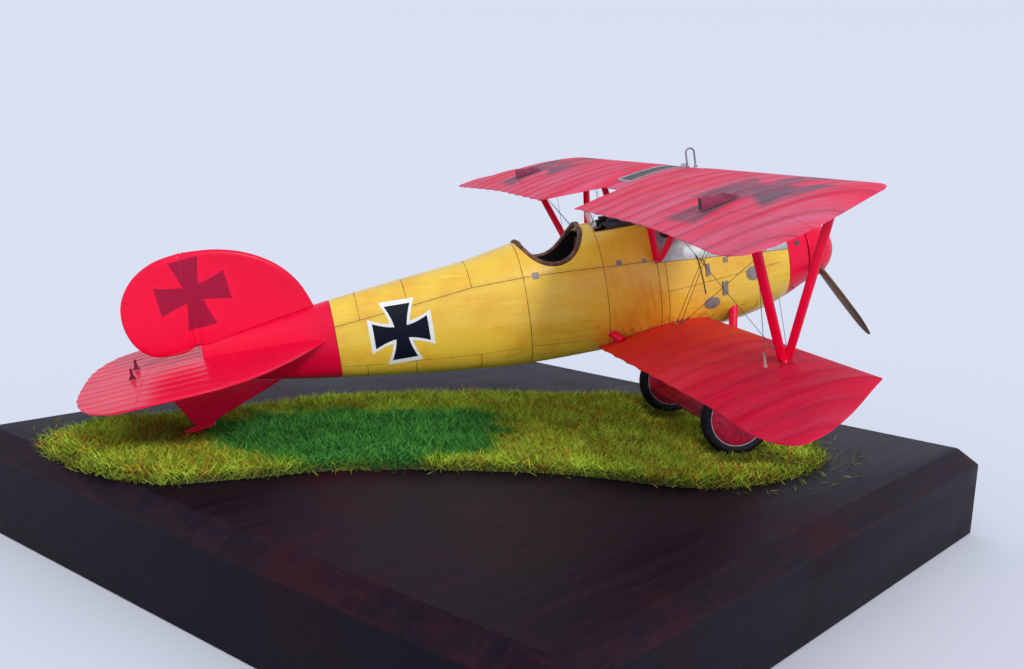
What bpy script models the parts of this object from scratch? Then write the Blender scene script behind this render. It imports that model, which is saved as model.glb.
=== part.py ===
"""Display model of a V-strutted fighter biplane, 1:48, on a square wooden plinth.

The aircraft stands on its wheels and tail skid on a mat of grass groundwork.
Its pieces are drawn in the aircraft's own frame: X to port, Y aft from the spinner's tip
along the thrust line, Z up from it. One empty carries that frame onto the plinth.
Sizes are the model's own, in millimetres times MM.
"""

import math

import bmesh
import bpy
from mathutils import Matrix, Vector

MM = 0.001

# Stand
PLINTH_SIDE = 151.0
PLINTH_THICKNESS = 19.4
PLINTH_CHAMFER = 3.5
PLINTH_TURN = math.radians(36.3)
MAT_THICKNESS = 0.9
MAT_OUTLINE = (
    (0.0, 87.0), (13.0, 81.0), (17.5, 68.0), (23.0, 51.5), (33.0, 32.0), (36.0, 10.0), (35.0, -14.0),
    (33.0, -40.0), (22.0, -56.0), (6.0, -63.0), (-10.0, -65.5), (-23.0, -62.0), (-32.0, -52.0),
    (-38.0, -38.0), (-37.0, -26.0), (-27.5, -7.0), (-22.5, 19.0), (-22.0, 36.0), (-25.5, 52.0),
    (-27.5, 64.0), (-21.0, 75.0), (-12.0, 83.0),
)

# Where the aircraft stands
AIRCRAFT_X = 1.15
SPINNER_TIP_Y = -74.0
THRUST_LINE_Z = 61.7
NOSE_UP = math.radians(11.17)

# Seams between pieces that touch on the model
SEAM = 0.1
RUNNING_GAP = 0.25

# Nose and propeller
SPINNER_BASE = 8.6
SPINNER_RADIUS = 7.19
SPINNER_BACK = 8.3
PROPELLER_STATION = 5.9
PROPELLER_RADIUS = 28.8
PROPELLER_TURN = math.radians(59.0)
PROPELLER_PITCH = 14.0
SHAFT_RADIUS = 1.2
NOSE_BAND_END = 13.8

# Body: distance aft, top, bottom, half width
BODY_STATIONS = (
    (8.7, 7.2, -7.3, 7.2),
    (13.8, 8.7, -9.4, 8.6),
    (20.0, 9.9, -11.3, 9.0),
    (27.2, 11.2, -12.4, 9.2),
    (40.5, 12.6, -13.0, 9.3),
    (53.3, 13.8, -13.1, 9.2),
    (70.3, 12.4, -12.9, 8.6),
    (81.5, 10.5, -12.0, 7.8),
    (97.7, 8.8, -10.0, 6.4),
    (109.4, 7.5, -8.3, 5.2),
    (120.0, 5.9, -6.6, 3.7),
    (135.3, 3.2, -3.8, 0.9),
)
BODY_SQUARENESS = 2.3
BODY_RING_POINTS = 30
BODY_WALL = 0.9
TAIL_BAND_START = 109.4
STERN_POST = 135.2

# Cockpit
COCKPIT_FRONT = 54.6
COCKPIT_FLOOR_U = -8.6
CAVITY_FRONT = 44.5
CAVITY_REAR = 77.0
COCKPIT_SCOOP = (
    (71.4, 18.0), (70.6, 13.2), (69.6, 10.9), (67.9, 8.9), (65.6, 7.6), (63.2, 7.3),
    (60.9, 7.9), (58.9, 9.4), (57.3, 11.6), (56.2, 14.0), (55.6, 18.0),
)
COAMING_RADIUS = 0.55

# Upper cowl panel and gun deck
COWL_REAR = 42.9
COWL_EDGE_FRONT_U = 2.2
COWL_EDGE_REAR_U = 4.5
DECK_FRONT = 42.9
DECK_REAR = 54.2
DECK_HEIGHT = 12.2
GUN_OFFSET = 3.0
CYLINDER_COUNT = 6
CYLINDER_PITCH = 3.55
CYLINDER_FIRST = 19.6
CYLINDER_RADIUS = 1.25
CYLINDER_TOP = 14.6

# Wings: leading edge, trailing edge, tips
UPPER_LEAD = (29.0, 21.2)
UPPER_CHORD = 31.25
UPPER_TRAIL_U = 18.7
UPPER_HALF_SPAN = 94.15
UPPER_TIP_LEAD_X = 74.5
CUT_OUT_HALF_WIDTH = 13.4
CUT_OUT_DEPTH = 13.0
RADIATOR_SIDES = (0.8, 8.4)
RADIATOR_ENDS = (31.2, 43.6)
RADIATOR_DEPTH = 0.7
WING_PIPE_X = -4.4
WING_PIPE_LEGS = (30.7, 32.5)
WING_PIPE_HEIGHT = 4.0
AILERON_ROOT = 46.0
AILERON_HINGE = ((46.0, 55.4), (94.0, 49.4))
CRANK_X = 60.5
CRANK_ENDS = (46.8, 53.4)
CRANK_HEIGHT = 2.2
LOWER_LEAD = (32.2, -9.7)
LOWER_CHORD = 24.6
LOWER_TRAIL_U = -11.4
LOWER_HALF_SPAN = 90.7
LOWER_TIP_LEAD_X = 74.0
LOWER_DIHEDRAL = math.radians(1.36)
WING_CAMBER = 0.042
WING_THICKNESS = 0.055
LOWER_WING_THICKNESS = 0.060
SECTION_POINTS = 11

# Struts
V_TOP_X = 66.3
V_FOOT_X = 55.9
V_FOOT_BEHIND = 7.3
V_TOPS_BEHIND = (4.0, 19.3)
STRUT_CHORD = 1.75
STRUT_THICKNESS = 1.05
CABANE_FOOT = (9.0, 43.0, 5.2)
CABANE_TOP_X = 13.0
CABANE_TOPS = (33.0, 45.6)

# Undercarriage
WHEEL_X = 18.24
AXLE_STATION = 33.24
AXLE_U = -28.26
TYRE_RADIUS = 7.95
TYRE_WIDTH = 2.3
RIM_RADIUS = 5.95
AXLE_RADIUS = 0.55
GEAR_FOOT_X = 14.2
GEAR_TOPS = ((6.9, 26.4, -6.4), (4.6, 39.6, -11.2))

# Tail
RUDDER_HINGE = 135.5
FIN_AND_RUDDER = (
    (112.2, 6.6), (114.4, 12.1), (118.0, 16.4), (123.2, 19.6), (129.2, 21.3), (135.5, 21.7),
    (141.0, 20.7), (145.4, 18.1), (148.1, 14.2), (148.7, 9.9), (147.5, 5.7), (144.8, 2.9),
    (141.4, 2.2), (138.2, 2.3), (135.5, 3.4),
)
TAILPLANE_LEAD_U = 0.3
TAILPLANE_SLOPE = -0.0235
TAILPLANE_ROOT = 110.0
TAIL_LEADING = ((0.0, 110.0), (4.0, 111.3), (7.8, 113.3), (12.3, 116.0), (15.9, 118.4), (21.7, 123.2), (24.9, 127.0),
                (26.6, 130.6), (27.4, 134.5), (28.0, 140.3), (28.5, 146.9), (28.55, 148.5))
TAIL_TRAILING = ((0.0, 158.4), (6.0, 158.3), (12.0, 158.0), (16.5, 157.2), (21.0, 155.9), (24.4, 154.2),
                 (26.8, 152.3), (28.0, 150.5), (28.55, 148.9))
TAIL_STATIONS = (5.0, 9.0, 13.0, 17.0, 20.5, 23.0, 25.0, 26.3, 27.1, 27.8, 28.3)
ELEVATOR_HINGE = 146.2
HORN_X = 4.6
SKID_TIP = (141.2, -13.6)

PARTS = bpy.data.collections.new("display_model_biplane")
CUTTERS = bpy.data.collections.new("cutters")


def clear_scene():
    for item in list(bpy.data.objects):
        bpy.data.objects.remove(item, do_unlink=True)
    bpy.context.scene.collection.children.link(PARTS)
    bpy.context.scene.collection.children.link(CUTTERS)


def paint(name, colour, roughness, metallic=0.0):
    finish = bpy.data.materials.new(name)
    finish.use_nodes = True
    shader = finish.node_tree.nodes["Principled BSDF"]
    shader.inputs["Base Color"].default_value = (*colour, 1.0)
    shader.inputs["Roughness"].default_value = roughness
    shader.inputs["Metallic"].default_value = metallic
    return finish


RED = (0.62, 0.015, 0.05)
YELLOW = (0.72, 0.43, 0.04)
GREY = (0.28, 0.30, 0.28)
STEEL = (0.10, 0.10, 0.11)
BROWN = (0.16, 0.06, 0.03)


def place(item, finish, parent, location=(0.0, 0.0, 0.0)):
    """Put a finished piece in the model's collection, under its parent frame."""
    for owner in list(item.users_collection):
        owner.objects.unlink(item)
    PARTS.objects.link(item)
    item.data.materials.clear()
    item.data.materials.append(finish)
    item.parent = parent
    item.location = Vector(location) * MM
    item.data.shade_smooth()
    item.data.set_sharp_from_angle(angle=math.radians(35.0))
    return item


def new_mesh(name, points, faces):
    """A mesh object from points in millimetres, outside faces turned out."""
    mesh = bpy.data.meshes.new(name)
    mesh.from_pydata([Vector(p) * MM for p in points], [], faces)
    shape = bmesh.new()
    shape.from_mesh(mesh)
    bmesh.ops.recalc_face_normals(shape, faces=shape.faces)
    shape.to_mesh(mesh)
    shape.free()
    item = bpy.data.objects.new(name, mesh)
    PARTS.objects.link(item)
    return item


def loft(name, rings):
    """Skin a row of closed rings with equal numbers of points, and cap both ends."""
    count = len(rings[0])
    points = [p for ring in rings for p in ring]
    faces = [tuple(range(count)), tuple(len(points) - count + i for i in range(count))]
    for row in range(len(rings) - 1):
        for i in range(count):
            j = (i + 1) % count
            faces.append((row * count + i, row * count + j, (row + 1) * count + j, (row + 1) * count + i))
    return new_mesh(name, points, faces)


def box(name, low, high):
    """An upright box between two corners, in millimetres."""
    rings = []
    for z in (low[2], high[2]):
        rings.append([(low[0], low[1], z), (high[0], low[1], z), (high[0], high[1], z), (low[0], high[1], z)])
    return loft(name, rings)


def prism(name, outline, low_x, high_x):
    """A side outline of (aft, up) points, carried across from low_x to high_x."""
    return loft(name, [[(x, y, z) for y, z in outline] for x in (low_x, high_x)])


def turned(name, profile, axis, steps=32):
    """A closed solid turned about X or Y from (along, radius) points."""
    rings = []
    for along, radius in profile:
        ring = []
        for i in range(steps):
            angle = 2.0 * math.pi * i / steps
            c, s = radius * math.cos(angle), radius * math.sin(angle)
            ring.append((along, c, s) if axis == "X" else (c, along, s))
        rings.append(ring)
    return loft(name, rings)


def hide_cutter(item):
    for owner in list(item.users_collection):
        owner.objects.unlink(item)
    CUTTERS.objects.link(item)
    item.hide_render = True
    item.display_type = "WIRE"
    return item


def combine(item, other, operation):
    """Cut, join or keep the common part with another solid, as a plain mesh."""
    hide_cutter(other)
    other.parent = item.parent
    step = item.modifiers.new(operation.lower(), "BOOLEAN")
    step.operation = operation
    step.object = other
    graph = bpy.context.evaluated_depsgraph_get()
    result = bpy.data.meshes.new_from_object(item.evaluated_get(graph))
    item.modifiers.remove(step)
    old = item.data
    item.data = result
    bpy.data.meshes.remove(old)
    bpy.data.objects.remove(other, do_unlink=True)
    return item


def cut(item, other):
    return combine(item, other, "DIFFERENCE")


def join(item, other):
    return combine(item, other, "UNION")


def keep(item, other):
    return combine(item, other, "INTERSECT")


def bar(name, start, end, chord, thickness, steps=10, level_ends=True):
    """A streamlined bar between two points; its ends are cut level or square."""
    start, end = Vector(start), Vector(end)
    along = (end - start).normalized()
    wide = Vector((0.0, 1.0, 0.0))
    wide = (wide - along * wide.dot(along)).normalized()
    thin = along.cross(wide)
    rings = []
    for centre in (start, end):
        ring = []
        for i in range(steps):
            angle = 2.0 * math.pi * i / steps
            p = centre + wide * (0.5 * chord * math.cos(angle)) + thin * (0.5 * thickness * math.sin(angle))
            if level_ends:
                p = p - along * ((p.z - centre.z) / along.z)
            ring.append(tuple(p))
        rings.append(ring)
    return loft(name, rings)


def wire(name, route, radius, resolution=2):
    """A round rod or pipe along a route, as a curve with filled caps."""
    curve = bpy.data.curves.new(name, "CURVE")
    curve.dimensions = "3D"
    curve.bevel_depth = radius * MM
    curve.bevel_resolution = resolution
    curve.use_fill_caps = True
    spline = curve.splines.new("POLY")
    spline.points.add(len(route) - 1)
    for point, place_ in zip(spline.points, route):
        point.co = (*(Vector(place_) * MM), 1.0)
    item = bpy.data.objects.new(name, curve)
    PARTS.objects.link(item)
    return item


def wire_mesh(name, route, radius, resolution=2):
    """The same rod as a closed mesh, for joining to others."""
    item = wire(name, route, radius, resolution)
    graph = bpy.context.evaluated_depsgraph_get()
    mesh = bpy.data.meshes.new_from_object(item.evaluated_get(graph))
    bpy.data.objects.remove(item, do_unlink=True)
    shape = bmesh.new()
    shape.from_mesh(mesh)
    bmesh.ops.remove_doubles(shape, verts=shape.verts, dist=0.00001)
    bmesh.ops.recalc_face_normals(shape, faces=shape.faces)
    shape.to_mesh(mesh)
    shape.free()
    solid = bpy.data.objects.new(name, mesh)
    PARTS.objects.link(solid)
    return solid


# Body sections

def body_size(station):
    """Top, bottom and half width at a distance aft, on a smooth curve through the stations."""
    rows = BODY_STATIONS
    last = len(rows) - 1
    i = max(k for k in range(last) if station >= rows[k][0] or k == 0)
    before, here, there, after = rows[max(i - 1, 0)], rows[i], rows[i + 1], rows[min(i + 2, last)]
    span = there[0] - here[0]
    t = (station - here[0]) / span
    values = []
    for k in (1, 2, 3):
        slope_here = (there[k] - before[k]) / (there[0] - before[0]) * span
        slope_there = (after[k] - here[k]) / (after[0] - here[0]) * span
        h00, h10 = 2 * t**3 - 3 * t**2 + 1, t**3 - 2 * t**2 + t
        h01, h11 = -2 * t**3 + 3 * t**2, t**3 - t**2
        values.append(h00 * here[k] + h10 * slope_here + h01 * there[k] + h11 * slope_there)
    return values


def body_ring(station, grow=0.0):
    top, bottom, half_width = body_size(station)
    centre, half_height = 0.5 * (top + bottom), 0.5 * (top - bottom) + grow
    half_width += grow
    ring = []
    for i in range(BODY_RING_POINTS):
        angle = 2.0 * math.pi * i / BODY_RING_POINTS
        c, s = math.cos(angle), math.sin(angle)
        power = 2.0 / BODY_SQUARENESS
        x = half_width * math.copysign(abs(c) ** power, c)
        z = centre + half_height * math.copysign(abs(s) ** power, s)
        ring.append((x, station, z))
    return ring


def body_side(station, height, grow=0.0):
    """Half width of the body at a height, 0 above its top or below its bottom."""
    top, bottom, half_width = body_size(station)
    centre, half_height = 0.5 * (top + bottom), 0.5 * (top - bottom) + grow
    rise = min(1.0, abs(height - centre) / half_height)
    return (half_width + grow) * (1.0 - rise**BODY_SQUARENESS) ** (1.0 / BODY_SQUARENESS)


def body_loft(name, start, end, grow=0.0, step=4.4):
    count = max(2, round((end - start) / step))
    return loft(name, [body_ring(start + (end - start) * i / count, grow) for i in range(count + 1)])


# Wing sections

def section(lead, trail, thickness, camber=WING_CAMBER, sharp=0.16):
    """Aerofoil points between a leading and a trailing point, over the top and back below."""
    chord = trail[0] - lead[0]
    drop = lead[1] - trail[1]

    def height(t):
        peak = 0.38
        if t < peak:
            mean = camber / peak**2 * (2 * peak * t - t * t)
        else:
            mean = camber / (1 - peak) ** 2 * (1 - 2 * peak + 2 * peak * t - t * t)
        half = 5 * thickness * (0.2969 * math.sqrt(t) - 0.126 * t - 0.3516 * t**2 + 0.2843 * t**3 - 0.1015 * t**4)
        return mean * chord, max(half * chord, 0.5 * sharp * min(1.0, 8 * t))

    steps = [0.5 - 0.5 * math.cos(math.pi * i / SECTION_POINTS) for i in range(SECTION_POINTS + 1)]
    top, below = [], []
    for t in steps:
        mean, half = height(t)
        base = lead[1] - drop * t
        top.append((lead[0] + chord * t, base + mean + half))
        below.append((lead[0] + chord * t, base + mean - half))
    return top + below[:0:-1]


def tip_factor(x, start, end):
    return min(1.0, max(0.0, (x - start) / (end - start)))


def along(rows, x):
    """The second value of a table at a first value, on straight lines between its rows."""
    for (x0, y0), (x1, y1) in zip(rows, rows[1:]):
        if x <= x1:
            return y0 + (y1 - y0) * max(0.0, x - x0) / (x1 - x0)
    return rows[-1][1]


def upper_edges(x):
    """Leading and trailing points of the upper wing at a distance from the centreline."""
    lead_y, lead_z = UPPER_LEAD
    trail = UPPER_CHORD
    lead = 0.0
    if x > UPPER_TIP_LEAD_X:
        t = (x - UPPER_TIP_LEAD_X) / (UPPER_HALF_SPAN - UPPER_TIP_LEAD_X)
        lead = 31.2 * (0.78 * t**0.92 + 0.22 * (1 - math.sqrt(max(0.0, 1 - t**3))))
    trail += 3.2 * tip_factor(x, 50.0, 88.0) ** 1.3
    if x > 88.5:
        trail -= 3.0 * (1 - math.sqrt(max(0.0, 1 - ((x - 88.5) / (UPPER_HALF_SPAN - 88.5)) ** 2)))
    if x < CUT_OUT_HALF_WIDTH:
        t = tip_factor(x, 7.6, CUT_OUT_HALF_WIDTH)
        trail -= CUT_OUT_DEPTH * (1 - t)
    drop = (lead_z - UPPER_TRAIL_U) / UPPER_CHORD
    return (lead_y + lead, lead_z - drop * lead), (lead_y + trail, lead_z - drop * trail)


def lower_edges(x):
    lead_y, lead_z = LOWER_LEAD
    trail, lead = LOWER_CHORD, 0.0
    if x > LOWER_TIP_LEAD_X:
        t = (x - LOWER_TIP_LEAD_X) / (LOWER_HALF_SPAN - LOWER_TIP_LEAD_X)
        lead = 22.4 * (0.72 * t**0.9 + 0.28 * (1 - math.sqrt(max(0.0, 1 - t**3))))
    trail += 1.0 * tip_factor(x, 62.0, 80.0) ** 1.3
    if x > 80.0:
        trail -= 3.6 * (1 - math.sqrt(max(0.0, 1 - ((x - 80.0) / (LOWER_HALF_SPAN - 80.0)) ** 2)))
    drop = (lead_z - LOWER_TRAIL_U) / LOWER_CHORD
    rise = math.tan(LOWER_DIHEDRAL) * max(0.0, x - 8.0)
    return (lead_y + lead, lead_z - drop * lead + rise), (lead_y + trail, lead_z - drop * trail + rise)


def wing_ring(x, edges, thickness, side):
    """One rib: thinner near the tip, where the chord is short."""
    lead, trail = edges(abs(x))
    return [(side * abs(x), y, z) for y, z in section(lead, trail, thickness)]


def wing_surface(edges, x, behind):
    """Top and underside height of a wing at a distance out and a distance behind its straight edge."""
    lead, trail = edges(abs(x))
    base = UPPER_LEAD[0] if edges is upper_edges else LOWER_LEAD[0]
    thickness = WING_THICKNESS if edges is upper_edges else LOWER_WING_THICKNESS
    points = section(lead, trail, thickness)
    y = base + behind
    top = points[:SECTION_POINTS + 1]
    below = [points[0]] + points[:SECTION_POINTS - 1:-1]
    return _height(top, y), _height(below, y)


def _height(row, y):
    for (y0, z0), (y1, z1) in zip(row, row[1:]):
        if y0 <= y <= y1:
            return z0 + (z1 - z0) * (y - y0) / (y1 - y0)
    return row[-1][1]


def upper_wing_solid(name):
    outer = [7.6, 13.4, 24.0, 37.0, 50.0, 60.0, 68.0, 74.5, 76.0, 79.0, 82.5, 86.0, 89.0, 91.5, 93.2, 94.0]
    stations = [-x for x in reversed(outer)] + outer
    return loft(name, [wing_ring(x, upper_edges, WING_THICKNESS, math.copysign(1, x)) for x in stations])


def lower_wing_solid(name, side):
    stations = [3.0, 9.0, 20.0, 34.0, 48.0, 60.0, 68.0, 74.0, 75.5, 78.0, 81.0, 84.0, 86.6, 88.6, 90.0, 90.6]
    rings = [wing_ring(x, lower_edges, LOWER_WING_THICKNESS, side) for x in stations]
    return loft(name, rings)


# Stand

def build_plinth():
    bpy.ops.mesh.primitive_cube_add(size=1.0)
    plinth = bpy.context.object
    plinth.name = plinth.data.name = "plinth"
    size = Vector((PLINTH_SIDE, PLINTH_SIDE, PLINTH_THICKNESS)) * MM
    plinth.data.transform(Matrix.Diagonal((*size, 1.0)))
    top = 0.5 * PLINTH_THICKNESS * MM
    weight = plinth.data.attributes.new("bevel_weight_edge", "FLOAT", "EDGE")
    for edge in plinth.data.edges:
        ends = [plinth.data.vertices[v].co.z for v in edge.vertices]
        if min(ends) > 0.5 * top:
            weight.data[edge.index].value = 1.0
    chamfer = plinth.modifiers.new("chamfer", "BEVEL")
    chamfer.limit_method = "WEIGHT"
    chamfer.width = PLINTH_CHAMFER * MM
    chamfer.segments = 1
    place(plinth, paint("stained_wood", (0.035, 0.012, 0.014), 0.32), None, (0, 0, 0.5 * PLINTH_THICKNESS))
    plinth.rotation_euler = (0.0, 0.0, PLINTH_TURN)
    return plinth


def build_grass_mat(aircraft):
    curve = bpy.data.curves.new("grass_mat", "CURVE")
    curve.dimensions = "2D"
    curve.fill_mode = "BOTH"
    curve.extrude = 0.5 * MAT_THICKNESS * MM
    spline = curve.splines.new("POLY")
    spline.use_cyclic_u = True
    spline.points.add(len(MAT_OUTLINE) - 1)
    for point, (x, y) in zip(spline.points, MAT_OUTLINE):
        point.co = (x * MM, y * MM, 0.0, 1.0)
    flat = bpy.data.objects.new("grass_mat", curve)
    PARTS.objects.link(flat)
    graph = bpy.context.evaluated_depsgraph_get()
    mesh = bpy.data.meshes.new_from_object(flat.evaluated_get(graph))
    bpy.data.objects.remove(flat, do_unlink=True)
    shape = bmesh.new()
    shape.from_mesh(mesh)
    bmesh.ops.remove_doubles(shape, verts=shape.verts, dist=0.00001)
    bmesh.ops.recalc_face_normals(shape, faces=shape.faces)
    height = (PLINTH_THICKNESS + SEAM + 0.5 * MAT_THICKNESS) * MM
    shape.transform(Matrix.Translation((0.0, 0.0, height)))
    shape.to_mesh(mesh)
    shape.free()
    mat = bpy.data.objects.new("grass_mat", mesh)
    PARTS.objects.link(mat)
    for side in (-1, 1):
        middle = aircraft.matrix_world @ (Vector((side * WHEEL_X, AXLE_STATION, AXLE_U)) * MM) / MM
        half = 0.5 * TYRE_WIDTH + RUNNING_GAP
        radius = TYRE_RADIUS + RUNNING_GAP
        trough = turned("trough", [(-half, radius), (half, radius)], "X", 48)
        trough.data.transform(Matrix.Translation(middle * MM))
        cut(mat, trough)
    return place(mat, paint("grass", (0.25, 0.28, 0.03), 0.95), None)


# Nose, body and cockpit

def build_spinner_and_propeller(aircraft):
    hub = bpy.data.objects.new("propeller_axis", None)
    PARTS.objects.link(hub)
    hub.parent = aircraft
    hub.location = Vector((0.0, PROPELLER_STATION, 0.0)) * MM

    profile = []
    for i in range(1, 11):
        angle = 0.5 * math.pi * i / 10
        profile.append((SPINNER_BACK * (1.0 - math.cos(angle)), SPINNER_RADIUS * math.sin(angle)))
    spinner = turned("spinner", [(y - PROPELLER_STATION, r) for y, r in profile], "Y", 28)
    bore = turned("bore", [(SPINNER_BACK - 1.2 - PROPELLER_STATION, SHAFT_RADIUS + SEAM),
                           (SPINNER_BACK + 1.0 - PROPELLER_STATION, SHAFT_RADIUS + SEAM)], "Y", 16)
    cut(spinner, bore)
    for side in (-1, 1):
        slot = blade("slot", side, 0.3, 4.0, 12.0)
        cut(spinner, slot)
    place(spinner, paint("spinner_red", RED, 0.35), hub)

    laminated = paint("laminated_wood", (0.13, 0.08, 0.05), 0.4)
    for side, name in ((-1, "propeller_blade_a"), (1, "propeller_blade_b")):
        place(blade(name, side, 0.0, 4.3, PROPELLER_RADIUS), laminated, hub)
    return hub


def blade(name, side, grow, start, end):
    """One twisted blade from near the hub out to its tip, turned to the parked angle."""
    rings = []
    count = 12
    for i in range(count + 1):
        t = i / count
        r = start + (end - start) * t
        f = r / PROPELLER_RADIUS
        chord = 2.1 + 2.0 * math.sin(math.pi * min(1.0, f * 0.95)) ** 0.8
        if f > 0.82:
            chord *= math.sqrt(max(0.02, 1.0 - ((f - 0.82) / 0.184) ** 2))
        thick = 1.25 * (1.0 - 0.78 * f) + 0.12
        pitch = math.atan2(PROPELLER_PITCH, math.tau * max(r, 3.0))
        ring = []
        for k in range(10):
            angle = 2.0 * math.pi * k / 10
            p = (0.5 * chord + grow) * math.cos(angle)
            q = (0.5 * thick + grow) * math.sin(angle)
            x = p * math.cos(pitch) - q * math.sin(pitch)
            y = p * math.sin(pitch) + q * math.cos(pitch)
            ring.append((side * x, y, side * r))
        rings.append(ring)
    item = loft(name, rings)
    item.data.transform(Matrix.Rotation(PROPELLER_TURN, 4, "Y"))
    return item


def build_nose(aircraft):
    nose = body_loft("nose_band", SPINNER_BASE + 0.1, NOSE_BAND_END - 0.5 * SEAM, step=2.6)
    shaft = turned("shaft", [(SPINNER_BACK - 0.9, SHAFT_RADIUS), (SPINNER_BASE + 1.0, SHAFT_RADIUS)], "Y", 16)
    join(nose, shaft)
    return place(nose, paint("nose_red", RED, 0.35), aircraft)


def cowl_block(grow):
    """The block of space above the side edge of the upper cowl panel."""
    outline = [
        (NOSE_BAND_END - 2.0, COWL_EDGE_FRONT_U - 0.1 - grow),
        (COWL_REAR + grow, COWL_EDGE_REAR_U - grow),
        (COWL_REAR + grow, 30.0),
        (NOSE_BAND_END - 2.0, 30.0),
    ]
    return prism("cowl_block", outline, -20.0, 20.0)


def build_fuselage(aircraft):
    hull = body_loft("fuselage", NOSE_BAND_END + 0.5 * SEAM, TAIL_BAND_START - 0.5 * SEAM)
    cut(hull, cowl_block(SEAM))
    cut(hull, box("deck", (-20.0, DECK_FRONT - 5.0, DECK_HEIGHT), (20.0, DECK_REAR, 30.0)))
    cut(hull, body_loft("cavity", CAVITY_FRONT, CAVITY_REAR, -BODY_WALL))
    cut(hull, prism("scoop", COCKPIT_SCOOP, -20.0, 20.0))
    return place(hull, paint("varnished_ply", YELLOW, 0.35), aircraft)


def build_upper_cowl(aircraft):
    cowl = body_loft("upper_cowl", NOSE_BAND_END + 0.5 * SEAM, COWL_REAR)
    keep(cowl, cowl_block(0.0))
    half = CYLINDER_RADIUS + 0.6
    start = CYLINDER_FIRST - half - 0.3
    end = CYLINDER_FIRST + CYLINDER_PITCH * (CYLINDER_COUNT - 1) + half + 0.3
    cut(cowl, box("engine_slot", (-half, start, 8.2), (half, end, 30.0)))
    cut(cowl, box("exhaust_shelf", (-6.6, start, 10.0), (-half + 0.1, CYLINDER_FIRST + 20.6, 30.0)))
    for side in (-1, 1):
        middle = side * (GUN_OFFSET + 0.35)
        cut(cowl, box("gun_trough", (middle - 0.95, 27.0, 11.2), (middle + 0.95, 50.0, 30.0)))
    return place(cowl, paint("grey_metal", GREY, 0.5, 0.3), aircraft)


def build_engine(aircraft):
    low, high = 8.3, 10.4
    half = CYLINDER_RADIUS + 0.35
    start = CYLINDER_FIRST - half - 0.2
    end = CYLINDER_FIRST + CYLINDER_PITCH * (CYLINDER_COUNT - 1) + half + 0.2
    engine = box("engine", (-half, start, low), (half, end, high))
    for i in range(CYLINDER_COUNT):
        y = CYLINDER_FIRST + CYLINDER_PITCH * i
        barrel = turned("barrel", [(high - 0.5, CYLINDER_RADIUS), (CYLINDER_TOP - 0.8, CYLINDER_RADIUS),
                                   (CYLINDER_TOP - 0.3, 0.7 * CYLINDER_RADIUS)], "X", 14)
        barrel.data.transform(Matrix.Rotation(-0.5 * math.pi, 4, "Y"))
        barrel.data.transform(Matrix.Translation(Vector((0.0, y, 0.0)) * MM))
        join(engine, barrel)
    join(engine, box("camshaft", (-0.45, start + 0.6, CYLINDER_TOP - 0.6), (0.45, end - 0.6, CYLINDER_TOP + 0.35)))
    return place(engine, paint("engine_steel", STEEL, 0.45, 0.7), aircraft)


def build_exhaust(aircraft):
    """Collector pipe along the starboard side of the cylinders, its outlet turned down aft."""
    end = CYLINDER_FIRST + CYLINDER_PITCH * (CYLINDER_COUNT - 1)
    route = [(-4.9, CYLINDER_FIRST - 1.0, 10.95), (-4.9, end - 1.2, 10.95), (-5.5, end + 0.6, 10.9),
             (-6.8, end + 2.1, 10.6), (-8.4, end + 3.2, 10.1)]
    pipe = wire_mesh("exhaust", route, 0.72, 3)
    for i in range(CYLINDER_COUNT - 1):
        y = CYLINDER_FIRST + CYLINDER_PITCH * i
        join(pipe, wire_mesh("stub", [(-CYLINDER_RADIUS - 0.12, y, 11.6), (-4.9, y, 10.95)], 0.42, 2))
    return place(pipe, paint("burnt_steel", (0.10, 0.045, 0.03), 0.7, 0.4), aircraft)


def build_gun(aircraft, side, name):
    x = side * GUN_OFFSET
    gun = box(name, (x - 0.75, 43.6, DECK_HEIGHT + SEAM), (x + 0.75, 51.4, DECK_HEIGHT + 2.2))
    barrel = turned("jacket", [(28.2, 0.55), (44.0, 0.55)], "Y", 12)
    barrel.data.transform(Matrix.Translation(Vector((side * (GUN_OFFSET + 0.35), 0.0, DECK_HEIGHT + 0.75)) * MM))
    join(gun, barrel)
    grip = box("grip", (x - 0.35, 51.0, DECK_HEIGHT + 0.7), (x + 0.35, 52.4, DECK_HEIGHT + 1.6))
    join(gun, grip)
    return place(gun, paint(name + "_steel", STEEL, 0.4, 0.8), aircraft)


def coaming_route():
    """The closed line of the cockpit's edge, down one side and up the other."""
    side_points = []
    edge = [p for p in COCKPIT_SCOOP if p[1] < 14.1]
    dense = []
    for (y0, z0), (y1, z1) in zip(edge, edge[1:]):
        dense += [(y0 + (y1 - y0) * k / 2, z0 + (z1 - z0) * k / 2) for k in range(2)]
    dense.append(edge[-1])
    for y, z in dense:
        if z < body_size(y)[0] - 0.25:
            side_points.append((body_side(y, z), y, z))
    return side_points


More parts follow.
